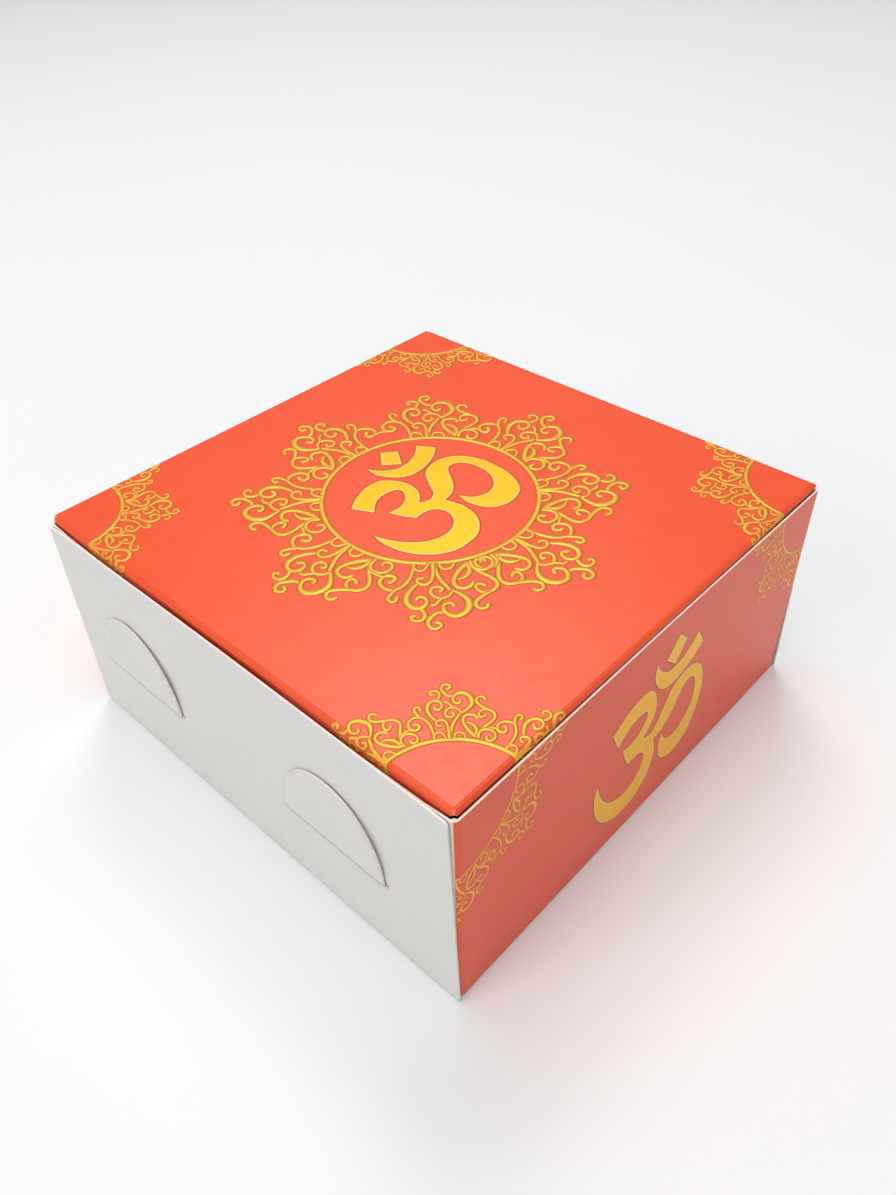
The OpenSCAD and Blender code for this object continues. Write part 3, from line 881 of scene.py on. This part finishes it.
def ornament(centre, radius, line, brush, keyline, lobes, mirrored_lobes, first_angle):
    """Gold scrollwork and its keyline, as flat meshes."""
    drawing = stroke_mesh("lobe_strokes", lobe_strokes())
    centre = Vector((*centre, 0.0))
    settings = dict(Ring_Radius=radius, Ring_Line=line, Brush_Size=brush, Lobes=lobes,
                    Mirrored=mirrored_lobes, First_Angle=first_angle)
    gold = drawn(drawing, SCROLLWORK, Lift=GOLD_LIFT, Centre=centre, Ink=GOLD_LINE, **settings)
    # The keyline, moved towards the front left, paints shade along the gold's front-left edges
    under = drawn(drawing, SCROLLWORK, Lift=KEYLINE_LIFT, Centre=centre + KEYLINE_SHADE_SHIFT, Extra_Width=keyline,
                  Ink=KEYLINE, **settings)
    bpy.data.objects.remove(drawing)
    return [gold, under]


# Places and sizes in mm, angles in degrees. The mandala sits a little off the lid's middle
lid_mandala = ornament((0.75, 3.4), radius=30.1, line=0.8, brush=1.35, keyline=0.13,
                       lobes=8, mirrored_lobes=4, first_angle=90.0)
lid_corners = []
for x, y, mirrored_lobes, first_angle in (
        (-LID_HALF_W, LID_FRONT, 0, 0.0), (LID_HALF_W, LID_FRONT, 0, 90.0),
        (LID_HALF_W, LID_BACK, 0, 180.0), (-LID_HALF_W, LID_BACK, 3, 270.0)):
    lid_corners += ornament((x, y), radius=19.2, line=0.62, brush=1.4, keyline=0.1,
                            lobes=3, mirrored_lobes=mirrored_lobes, first_angle=first_angle)
wall_corners = []
for x, mirrored_lobes, first_angle in ((-FLAP_FACE, 3, 270.0), (FLAP_FACE, 0, 180.0)):
    wall_corners += ornament((x, FRONT_TOP), radius=19.6, line=0.34, brush=0.95, keyline=0.08,
                             lobes=3, mirrored_lobes=mirrored_lobes, first_angle=first_angle)
print("mandala triangles:", sum(len(mesh.polygons) * 2 for mesh in lid_mandala))

# %% [markdown]
# ## The figure in the middle
# The Om is a traditional figure. It is drawn as one outline with sharp corners where the pen turns and
# smooth sides between them, with a crescent and a diamond above. Each side is a short row of points with
# a smooth curve through them. The figure is filled with a fine grid, and each point of it stores how far
# it lies from the outline, which gives the shader its pale rim.

# %% Outline of the Om
# Sides of the figure in mm from its middle; each runs from one corner to the next
OM_BODY = [
    [(-19.0, 10.0), (-16.0, 12.1), (-12.2, 13.7), (-8.0, 14.6), (-3.7, 13.7), (-1.1, 10.5), (0.2, 6.3),
     (-0.3, 2.6), (-2.0, -0.1), (-4.4, -2.1)],
    [(-4.4, -2.1), (-2.7, -2.9), (-0.7, -3.2), (1.6, -1.7), (3.4, 1.4), (5.0, 3.8), (6.9, 6.5), (9.9, 8.2),
     (13.8, 8.8), (17.9, 7.7), (21.3, 4.5), (23.3, -0.1), (23.9, -4.9), (23.3, -10.8), (21.4, -16.1),
     (18.4, -19.6), (13.3, -21.2), (8.5, -19.9), (5.8, -16.9), (4.6, -12.9), (4.7, -10.2), (5.4, -7.8)],
    [(5.4, -7.8), (6.5, -10.2), (8.3, -12.1), (11.4, -13.2), (14.6, -12.6), (17.6, -10.2), (19.4, -6.8),
     (19.8, -2.8), (19.1, 1.0), (17.4, 3.3), (15.2, 4.0), (13.1, 3.0), (11.2, 0.4), (9.3, -2.4), (6.7, -4.9),
     (4.0, -6.3), (1.3, -6.7)],
    [(1.3, -6.7), (2.2, -9.7), (2.6, -13.4), (1.6, -17.9), (-1.0, -21.5), (-4.5, -24.0), (-9.1, -24.8),
     (-13.5, -24.4), (-17.9, -22.0), (-21.1, -18.5), (-23.2, -14.3), (-24.1, -10.2), (-24.2, -6.5),
     (-23.4, -3.3)],
    [(-23.4, -3.3), (-22.3, -7.2), (-20.3, -11.1), (-17.9, -14.2), (-14.6, -16.5), (-10.7, -17.5),
     (-6.8, -16.7), (-3.9, -14.4), (-2.7, -11.4), (-3.0, -8.8), (-4.7, -7.0), (-7.5, -6.4), (-10.1, -6.7)],
    [(-10.1, -6.7), (-12.0, -3.3), (-13.5, 1.0)],
    [(-13.5, 1.0), (-10.1, 0.5), (-6.8, 1.5), (-4.5, 3.6), (-3.6, 5.6), (-4.6, 7.3), (-7.3, 8.0),
     (-10.7, 7.6), (-13.3, 6.2), (-16.0, 3.9)],
    [(-16.0, 3.9), (-19.0, 10.0)],
]
OM_CRESCENT = [
    [(-2.3, 21.0), (-2.8, 18.0), (-2.1, 15.1), (-0.6, 12.5), (1.8, 10.2), (5.0, 8.9), (8.6, 8.9),
     (12.8, 10.0), (16.4, 11.7), (19.5, 14.0)],
    [(19.5, 14.0), (16.2, 19.2)],
    [(16.2, 19.2), (13.8, 17.1), (10.7, 15.3), (6.9, 14.4), (3.7, 14.7), (1.1, 16.3), (-0.9, 18.4),
     (-2.3, 21.0)],
]
TIPS = [(6.4, 24.6), (10.4, 20.9), (6.3, 15.2), (1.8, 19.4)]
OM_DIAMOND = [[a, b] for a, b in zip(TIPS, TIPS[1:] + TIPS[:1])]
OM = (OM_BODY, OM_CRESCENT, OM_DIAMOND)


def closed_outline(sides, longest=0.8):
    """Smooth sides joined at their corners, as points about `longest` mm apart at most."""
    outline = []
    for side in sides:
        gap = max(math.dist(a, b) for a, b in zip(side, side[1:]))
        outline += smooth(side, math.ceil(gap / longest))[:-1]
    return outline


# %% Filling the figure
def rim_depth(points, outline):
    """Distance of each point from a closed outline, in mm."""
    a = np.array([p[:2] for p in outline])
    along = np.roll(a, -1, axis=0) - a
    length = np.maximum((along ** 2).sum(axis=1), 1e-12)
    away = np.array([p[:2] for p in points])[:, None, :] - a
    share = np.clip((away * along).sum(axis=2) / length, 0, 1)
    return np.sqrt(((away - share[..., None] * along) ** 2).sum(axis=2)).min(axis=1)


def figure(shapes, centre, stretch, keyline=0.34, grid=0.4):
    """Filled figure and its keyline, as flat meshes, with the figure's middle at centre."""
    filled = bmesh.new()
    layer = filled.verts.layers.float.new("rim_mm")
    lines = []
    for sides in shapes:
        outline = [(centre[0] + x * stretch[0], centre[1] + y * stretch[1]) for x, y in closed_outline(sides)]
        shape = flat_sheet(outline)
        shape_layer = shape.verts.layers.float.new("rim_mm")
        xs, ys = [p[0] for p in outline], [p[1] for p in outline]
        cut_lines(shape, spread(min(xs), max(xs), grid), spread(min(ys), max(ys), grid))
        for v, depth in zip(shape.verts, rim_depth([v.co for v in shape.verts], outline)):
            v[shape_layer] = depth
            v.co.z = GOLD_LIFT
        part = bpy.data.meshes.new("figure")
        shape.to_mesh(part)
        filled.from_mesh(part)
        shape.free()
        lines.append([(x, y, keyline) for x, y in outline])
    gold = bpy.data.meshes.new("figure_fill")
    filled.to_mesh(gold)
    filled.free()
    gold.materials.append(GOLD_FIGURE)
    drawing = stroke_mesh("figure_outline", lines, closed=True)
    # The keyline, moved towards the front left, paints shade along the figure's front-left edges
    under = drawn(drawing, SCROLLWORK, Ring_Radius=1.0, Ring_Line=0.0, Lobes=1, Mirrored=0, First_Angle=90.0,
                  Lift=KEYLINE_LIFT, Centre=KEYLINE_SHADE_SHIFT, Ink=KEYLINE)
    bpy.data.objects.remove(drawing)
    return [gold, under]


lid_om = figure(OM, centre=(0.5, 5.3), stretch=(0.985, 0.985))
wall_om = figure(OM, centre=(0.1, 35.4), stretch=(1.02, 1.08))
print("figure triangles:", sum(len(mesh.polygons) * 2 for mesh in lid_om))

# %% [markdown]
# ## Putting the print on the board
# A flat print is cut to the panel it falls on, cut again along the fold's rows so that it bends with
# the board, and then laid on by the panel's own placement. Ink is a film with two sides, a few
# hundredths of a millimetre thick here, so that one layer never shares a plane with another.


# %% Films of ink
# A film's back lies this far under the board's face, in mm; its own height lifts its face above it
FILM_ROOT = 0.02


def film_parts(meshes, at, place, low, high, left, right, turn=lambda p: Vector((p.y, p.x, p.z))):
    """Flat print cut to low..high along the board and left..right across it. turn maps (x, y) to
    (along, across)."""
    parts = []
    for mesh in meshes:
        bm = bmesh.new()
        bm.from_mesh(mesh)
        for v in bm.verts:
            v.co = turn(v.co)
        keep_between(bm, Vector((1, 0, 0)), low, high)
        keep_between(bm, Vector((0, 1, 0)), left, right)
        if not bm.faces:
            bm.free()
            continue
        turns = [span for span in at.spans if span[2] and span[0] < high and span[1] > low]
        cut_lines(bm, [row for s0, s1, radius in turns for row in fold_rows(at, max(s0, low), min(s1, high))])
        layer = bm.verts.layers.float.get("rim_mm")
        depth = [v[layer] for v in bm.verts]
        ink = mesh.materials[-1]
        parts.append((bm, place, 0.0, FILM_ROOT, plain(ink, ink, ink), {"rim_mm": depth}))
    return parts


def printed(name, parts, body):
    """Films of ink as one piece of their own, riding on a body."""
    piece = closed_sheet(name, parts, body)
    print(name, len(piece.data.polygons), "faces")
    return piece

# %% [markdown]
# ## Base, front wall and back wall
# On the real carton these three are one strip with the lid. They share one section here, so their faces
# run on from one another; the walls take the bottom folds with them and the base is flat between.

# %% Base and end walls
def panel(name, at, place, corners, body, finish, node, slot, holes=(), films=(), **options):
    """One board panel from its flat corners, riding on a body and standing for a CAD node. A crease has
    neither."""
    outline = corners if isinstance(corners[0], Vector) else rounded(corners)
    piece = closed_sheet(name, [board_part(outline, at, place, holes, finish, **options), *films], body)
    if node:
        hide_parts(node)
    return piece


def strip(low, high, half_width):
    """Square corners of a strip from low to high along the board."""
    return [(low, -half_width, 0), (high, -half_width, 0), (high, half_width, 0), (low, half_width, 0)]


def up_front(p):
    """Lays a print on the strip's front wall, where the board runs up."""
    return Vector((FRONT[0] + p.y - FOLD_R, p.x, p.z))


def down_back(p):
    """Lays the same print on the back wall, where the board runs down and left is right."""
    return Vector((BACK[0] + LID_FOLD_Z - p.y, -p.x, p.z))


LEVEL = laid(X, LENGTHWISE)
# Each end wall: its name and placing, the ends of its sheet, its flat stretch and how its print is laid
ENDS = (("front", laid(X, LENGTHWISE, front_bow), FRONT_FOOT[0], FRONT[1], FRONT, up_front),
        ("back", LEVEL, BACK[0], BACK_FOOT[1], BACK, down_back))
panel("base_sheet", LENGTHWISE, LEVEL, strip(BASE[0], BASE[1], BOX_W / 2 - FOLD_R),
      "carton", plain(WHITE), "base_panel", "inner_board")
for end, place, low, high, flat, turn in ENDS:
    panel(f"{end}_wall_sheet", LENGTHWISE, place, strip(low, high, WALL_HALF_W),
          "carton", plain(RED), f"{end}_wall", "printed_wall", joints=(WALL_HALF_W, -WALL_HALF_W))
for name, pattern in (("corner", wall_corners), ("om", wall_om)):
    for end, place, low, high, flat, turn in ENDS:
        films = film_parts(pattern, LENGTHWISE, place, flat[0], flat[1], -WALL_HALF_W, WALL_HALF_W, turn)
        printed(f"{end}_wall_{name}_print", films, "carton")

# %% [markdown]
# ## Side walls
# Each side wall is hinged to the base and held only by its two tabs, so its top corners are free and
# curl out a little. Two slits let the tabs through.

# %% Side walls
SIDES = (("left", lambda place: place), ("right", mirrored))
TABS = (("front", FRONT_TAB_Y), ("back", BACK_TAB_Y))
WALL_CORNER_R = 1.0
# Above the slits a wall has a grid that is fine enough for the dents
GRID_LOW, GRID_HIGH, GRID_STEP = TAB_Z + 0.5, SIDE_TOP - 2.0, 1.0
foot = SIDEWISE.spans[0][0]
for side, hand in SIDES:
    corners = [(foot, -SIDE_END, 0), (SIDE_TOP, -SIDE_TOP_END, WALL_CORNER_R),
               (SIDE_TOP, SIDE_TOP_END, WALL_CORNER_R), (foot, SIDE_END, 0)]
    panel(f"{side}_side_wall_sheet", SIDEWISE, hand(laid(Y, SIDEWISE, side_bow)), corners,
          "carton", plain(WHITE), f"{side}_side_wall", "white_board",
          holes=[slot_outline(y) for name, y in TABS], column_step=GRID_STEP,
          extra_rows=spread(GRID_LOW, GRID_HIGH, GRID_STEP))

# %% [markdown]
# ## Corner flaps
# A flap folds round each vertical corner from the end wall and lies inside the side wall. The red print
# goes only part of the way round the fold, and the rest is white. Its lock tab was cut out of it, which
# leaves a half-moon window, and the short tongue below the window reaches out through the slit.

# %% Corner flaps
# The print stops this far round the corner fold, in degrees
PRINT_TURN = 55.0
PRINT_LENGTH = arc_length(CORNER_FOLD_R, PRINT_TURN)
# A flap leans in, more up to LEAN_LENGTH from its fold, and the fold has a bead inside
FLAP_LEAN, LEAN_LENGTH, BEAD = 0.2, 40.0, 0.6
# A flap's top edge drops FIRST_DROP within FIRST_LENGTH of the fold and TAPER in all
TAPER, FIRST_DROP, FIRST_LENGTH, FLAP_CORNER_R = 3.2, 0.9, 7.0, 12.0


def print_round_corner(side, s):
    """The corner fold is printed for the first part of its turn, seen from the end wall."""
    if side != "outer":
        return plain(WHITE)(side, s)
    turned = CORNER_START + CORNER_ARC - abs(s)
    return RED if turned < PRINT_LENGTH else WHITE


def flap_lean(s, t):
    """A corner flap leans in a little towards its free end, more near its top edge."""
    return -FLAP_LEAN * (t / FRONT_TOP) ** 2 * share_of(CORNER_START - abs(s), 0.0, LEAN_LENGTH)


def beaded(at):
    """A crease squeezes the board into a bead on the inside of the fold."""
    def placed(s, t, n):
        bead = BEAD * math.sin(math.pi * share_of(abs(s) - CORNER_START, 0.0, CORNER_ARC))
        return at(s, t, n + (bead if n > BOARD / 2 else 0.0))
    return placed


def flap_top(end, free_end):
    """A flap's top edge is tapered towards its free end, so that it doesn't catch when it is folded."""
    fold = end * CORNER_START
    return [(free_end, FRONT_TOP - TAPER, FLAP_CORNER_R),
            (fold - end * FIRST_LENGTH, FRONT_TOP - FIRST_DROP, 0), (fold, FRONT_TOP, 0)]


def corner_flap(name, hand, end, middle, free_end):
    """The flap with its fold and window, and the tongue that carries the tab."""
    root = end * (CORNER_START + CORNER_ARC)
    fold = end * CORNER_START
    outline = rounded([(root, FOLD_R, 0), (fold, FOLD_R, 0), (fold, FLAP_BASE, 0),
                       (free_end, FLAP_BASE, FLAP_CORNER_R), *flap_top(end, free_end), (root, FRONT_TOP, 0)])
    window = [Vector((p.y, p.x)) for p in half_moon(middle)]
    stop = end * (CORNER_START + CORNER_ARC - PRINT_LENGTH)
    tongue = [(s, t + middle, r) for s, t, r in strip(*TABWISE.spans[0][:2], TAB_W / 2)]
    # The end wall's print runs on round the fold; on the back it is the same print seen from behind
    seen = -1 if hand is mirrored else 1
    place = beaded(hand(laid(Z, ROUND, flap_lean)))
    films = film_parts(wall_corners, ROUND, place, min(root, stop), max(root, stop), 0.0, FRONT_TOP,
                       turn=lambda p: Vector((root - end * (-WALL_HALF_W + end * seen * p.x), p.y, p.z)))
    piece = closed_sheet(name, [
        board_part(outline, ROUND, place, [window], print_round_corner, extra_rows=[stop], joints=[root]),
        board_part(rounded(tongue), TABWISE, hand(laid(Y, TABWISE))), *films], "carton")
    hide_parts(name.replace("_sheet", ""))
    return piece


for side, hand in SIDES:
    corner_flap(f"front_{side}_corner_flap_sheet", hand, -1, FRONT_TAB_Y, FRONT_FLAP_END)
    corner_flap(f"back_{side}_corner_flap_sheet", hand, 1, BACK_TAB_Y, BACK_FLAP_END)

# %% [markdown]
# ## Lock tabs
# Each half-moon tab comes out through its slit and is folded up against the wall. The plate moves with
# its own joint, and the fold at its chord is a separate short piece that rides on no body.

# %% Lock tabs
TAB_FOLD_TOP = TAB_START + QUARTER
# A line of painted shade is drawn where the fold turns upright, for the shade where the tab leaves its slit
CHORD_SHADE = TAB_START + 0.92 * QUARTER
# The fold ends a hair inside its plate, so that no two faces lie in one plane
TAB_FOLD_HALF = TAB_W / 2 - 0.01


def bend_between(piece):
    """Bakes a fold's placement into its mesh; the fold rides on no body."""
    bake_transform(piece)


for side, hand in SIDES:
    out = -1 if side == "left" else 1
    for name, middle in TABS:
        body = f"{name}_{side}_tab"
        plate = half_moon(middle, foot=BOARD)
        # The plate and its fold carry the thin line of painted shade where the fold turns upright
        panel(f"{name}_{side}_tab_sheet", TABWISE, hand(laid(Y, TABWISE)), plate, body, plain(WHITE),
              f"{name}_{side}_lock_tab", "white_board", column_step=3.0, score=CHORD_SHADE)
        fold = panel(f"{name}_{side}_tab_fold", TABWISE, hand(laid(Y, TABWISE)),
                     [(s, t + middle, r) for s, t, r in strip(TAB_START, TAB_FOLD_TOP, TAB_FOLD_HALF)],
                     None, plain(WHITE), None, "white_board", score=CHORD_SHADE)
        bend_between(fold)

# %% [markdown]
# ## Lid, its three flaps and the folds between them
# The lid is one panel hinged along the back wall, with a flap down each side and a tuck flap in front.
# Every fold is a piece of its own between the two panels it joins and rides on no body, so the panels
# stay flat and stiff when the lid or a flap swings.

# %% Lid panel
LID_PLACE = laid(X, LENGTHWISE, lid_bow)


def lid_films(pattern, low, high, half=LID_FOLD_X):
    """What falls of a print on a stretch of the lid's strip."""
    return film_parts(pattern, LENGTHWISE, LID_PLACE, low, high, -half, half)


panel("lid_sheet", LENGTHWISE, LID_PLACE, strip(LID[0], LID[1], LID_FOLD_X),
      "lid", plain(RED), "lid_panel", "printed_lid", joints=(LID_FOLD_X, -LID_FOLD_X))
for name, pattern in (("mandala", lid_mandala), ("corner", lid_corners), ("om", lid_om)):
    printed(f"lid_{name}_print", lid_films(pattern, LID[0], LID[1]), "lid")

# %% Lid hinge crease
corners = [(HINGE[0], -LID_FOLD_X, 0), (HINGE[1], -WALL_HALF_W, 0),
           (HINGE[1], WALL_HALF_W, 0), (HINGE[0], LID_FOLD_X, 0)]
hinge = panel("lid_hinge_crease", LENGTHWISE, LID_PLACE, corners, None, plain(RED), None, "printed_wall",
              films=lid_films(lid_corners, HINGE[0], HINGE[1]))
bend_between(hinge)

# %% Ends of the lid's creases
# Past the lid's corner a crease runs out by CREASE_OUT, as a sine of up to CREASE_SWEEP degrees, and from
# the share CREASE_TURN of its arc on it comes back by CREASE_BACK
CREASE_OUT, CREASE_SWEEP, CREASE_BACK, CREASE_TURN = 0.88, 96, 0.6, 0.55


def crease_end(root, length, count=12):
    """How far a crease runs past the lid's corner: out to meet the other crease on the corner's slant, then
    back to the flap's narrower end. Pairs of (along the board, beyond), from the lid's edge to the root."""
    pairs = []
    for share in (k / count for k in range(count + 1)):
        beyond = CREASE_OUT * math.sin(share * math.radians(CREASE_SWEEP))
        beyond -= CREASE_BACK * share_of(share, CREASE_TURN, 1.0) ** 1.5
        pairs.append((root + length * (1 - share), beyond))
    return pairs


# %% Tuck flap and its crease
# The lid's print runs on over its folds and a little way down the flaps
BLEED = 4.0
# A flap is ROOT_EXTRA wider at its root, over ROOT_LENGTH. Its front ends slant at 45 degrees and stop
# TIP_GAP short of the mitre, with tips rounded by TIP_R
ROOT_EXTRA, ROOT_LENGTH, TIP_GAP, TIP_R = 0.25, 0.6, 0.6, 6.0
TUCK_TIP, TUCK_ROOT = TUCK[0], TUCK[1]
TUCK_HALF = LID_FOLD_X + ROOT_EXTRA
right_end = [(TUCK_ROOT, TUCK_HALF, 0), (TUCK_ROOT - ROOT_LENGTH, LID_FOLD_X, 0),
             (TUCK_TIP, LID_FOLD_X - TUCK_H - TIP_GAP, TIP_R)]
left_end = [(s, -t, radius) for s, t, radius in reversed(right_end)]
panel("tuck_flap_sheet", LENGTHWISE, LID_PLACE, left_end[-1:] + right_end + left_end[:-1],
      "tuck_flap", plain(RED), "lid_tuck_flap", "printed_lid",
      films=lid_films(lid_corners, TUCK_ROOT - BLEED, TUCK_ROOT, TUCK_HALF))
right_end = [(s, LID_FOLD_X + beyond, 0) for s, beyond in crease_end(TUCK_ROOT, TUCK_ARC)]
left_end = [(s, -t, radius) for s, t, radius in reversed(right_end)]
crease = panel("tuck_crease", LENGTHWISE, LID_PLACE, right_end + left_end,
               None, plain(RED), None, "printed_lid",
               films=lid_films(lid_corners, TUCK_FOLD[0], TUCK_FOLD[1], TUCK_HALF))
bend_between(crease)

# %% Side flaps and their creases
SIDE_TIP, SIDE_ROOT = CROSSWISE.spans[0][:2]
# A side flap's back end slants by this much
BACK_SLANT = 4.0
front = LID_FOLD_Y + LID_NOTCH
flap_corners = [(SIDE_ROOT, LID_FOLD_Y - ROOT_EXTRA, 0), (SIDE_ROOT, SIDE_FLAP_BACK, 0),
                (SIDE_TIP, SIDE_FLAP_BACK - BACK_SLANT, TIP_R),
                (SIDE_TIP, front + SIDE_FLAP_H + TIP_GAP, TIP_R), (SIDE_ROOT - ROOT_LENGTH, LID_FOLD_Y, 0)]
crease_corners = [(s, LID_FOLD_Y - beyond, 0) for s, beyond in crease_end(SIDE_ROOT, SIDE_ARC)]
crease_corners += [(SIDE_ROOT, SIDE_FLAP_BACK, 0), (-LID_FOLD_X, SIDE_FLAP_BACK, 0)]
for side, hand in SIDES:
    out = -1 if side == "left" else 1
    place = hand(laid(Y, CROSSWISE, lambda s, t: -LID_SINK))
    flap_films, crease_films = [
        film_parts(lid_corners, CROSSWISE, place, low, high, front, SIDE_FLAP_BACK,
                   lambda p: Vector((-out * p.x, p.y, p.z)))
        for low, high in ((SIDE_ROOT - BLEED, SIDE_ROOT), (SIDE_ROOT, -LID_FOLD_X))]
    panel(f"{side}_flap_sheet", CROSSWISE, place, flap_corners,
          f"{side}_flap", plain(RED), f"lid_{side}_flap", "printed_lid", films=flap_films)
    crease = panel(f"{side}_flap_crease", CROSSWISE, place, crease_corners,
                   None, plain(RED), None, "printed_lid", films=crease_films)
    bend_between(crease)

# %% [markdown]
# ## Floor, light and camera
# The box was photographed on a seamless pale sweep in soft daylight from the left and behind. A large
# plane and three big soft lamps under a bright surrounding light give the same gentle shadows.

# %% Floor
material, node = new_finish("matt_paper_sweep")
place = node("ShaderNodeTexCoord").outputs["Object"]
cloud = node("ShaderNodeTexNoise", {"Vector": place, "Scale": 8.0})
colour = node("ShaderNodeMix", {0: cloud, 6: linear("#f2f3f3"), 7: linear("#f0f1f2")}, data_type="RGBA")
shader = node("ShaderNodeBsdfPrincipled", {"Base Color": colour, "Roughness": 0.9})
node("ShaderNodeOutputMaterial", {"Surface": shader})
# In metres; it lies a little under the box, so that its base and the floor don't share a plane
FLOOR_HALF, FLOOR_Z = 3.0, -0.0001
corners = [(x * FLOOR_HALF, y * FLOOR_HALF, FLOOR_Z) for x, y in ((-1, -1), (1, -1), (1, 1), (-1, 1))]
floor_mesh = bpy.data.meshes.new("paper_sweep")
floor_mesh.from_pydata(corners, [], [(0, 1, 2, 3)])
floor_mesh.materials.append(material)
floor = bpy.data.objects.new("paper_sweep", floor_mesh)
bpy.context.scene.collection.objects.link(floor)


# %% Lamps and surrounding light
# The middle of the box, in metres
AIM = Vector((0.0, 0.0, 0.035))


def softbox(name, place, size, power):
    """A square area lamp at place, aimed at the middle of the box."""
    lamp = bpy.data.lights.new(name, "AREA")
    lamp.size = size
    lamp.energy = power
    holder = bpy.data.objects.new(name, lamp)
    holder.location = place
    holder.rotation_euler = (AIM - holder.location).to_track_quat("-Z", "Y").to_euler()
    bpy.context.scene.collection.objects.link(holder)


softbox("window_behind", (0.8, 0.8, 1.8), 0.8, 12.5)
softbox("window_left", (-1.5, 0.3, 1.2), 1.0, 7.8)
softbox("overhead", (-0.3, -0.2, 2.0), 1.3, 19.0)
world = bpy.data.worlds.new("studio")
bpy.context.scene.world = world
world.use_nodes = True
world.node_tree.nodes["Background"].inputs["Color"].default_value = linear("#ffffff")
world.node_tree.nodes["Background"].inputs["Strength"].default_value = 0.31
bpy.context.scene.view_settings.view_transform = "Standard"

# %% Camera
# Found by matching eleven corners of the box: place in mm, turn, tilt and roll in degrees
CAMERA_PLACE = (-157.1, -153.4, 224.8)
TURN, TILT, ROLL = 46.23, 40.76, -1.72
a, e, r = (math.radians(angle) for angle in (TURN, TILT, ROLL))
ahead = Vector((math.sin(a) * math.cos(e), math.cos(a) * math.cos(e), -math.sin(e)))
right = Vector((math.cos(a), -math.sin(a), 0))
up = right.cross(ahead)
right, up = right * math.cos(r) + up * math.sin(r), up * math.cos(r) - right * math.sin(r)
# The focal length and the frame's height, in the photograph's pixels, and the sensor's height in mm
FOCAL_PIXELS, FRAME_PIXELS, SENSOR = 972.2, 1195, 36.0
camera_data = bpy.data.cameras.new("photo_view")
camera_data.sensor_fit = "VERTICAL"
camera_data.sensor_height = SENSOR
camera_data.lens = FOCAL_PIXELS * SENSOR / FRAME_PIXELS
camera_data.clip_start = 0.01
camera = bpy.data.objects.new("photo_view", camera_data)
aimed = Matrix((right, up, -ahead)).transposed().to_4x4()
camera.matrix_world = Matrix.Translation(Vector(CAMERA_PLACE) * MM) @ aimed
bpy.context.scene.collection.objects.link(camera)
bpy.context.scene.camera = camera
print("camera at", [round(c * 1000) for c in camera.location], "lens", round(camera_data.lens, 2))
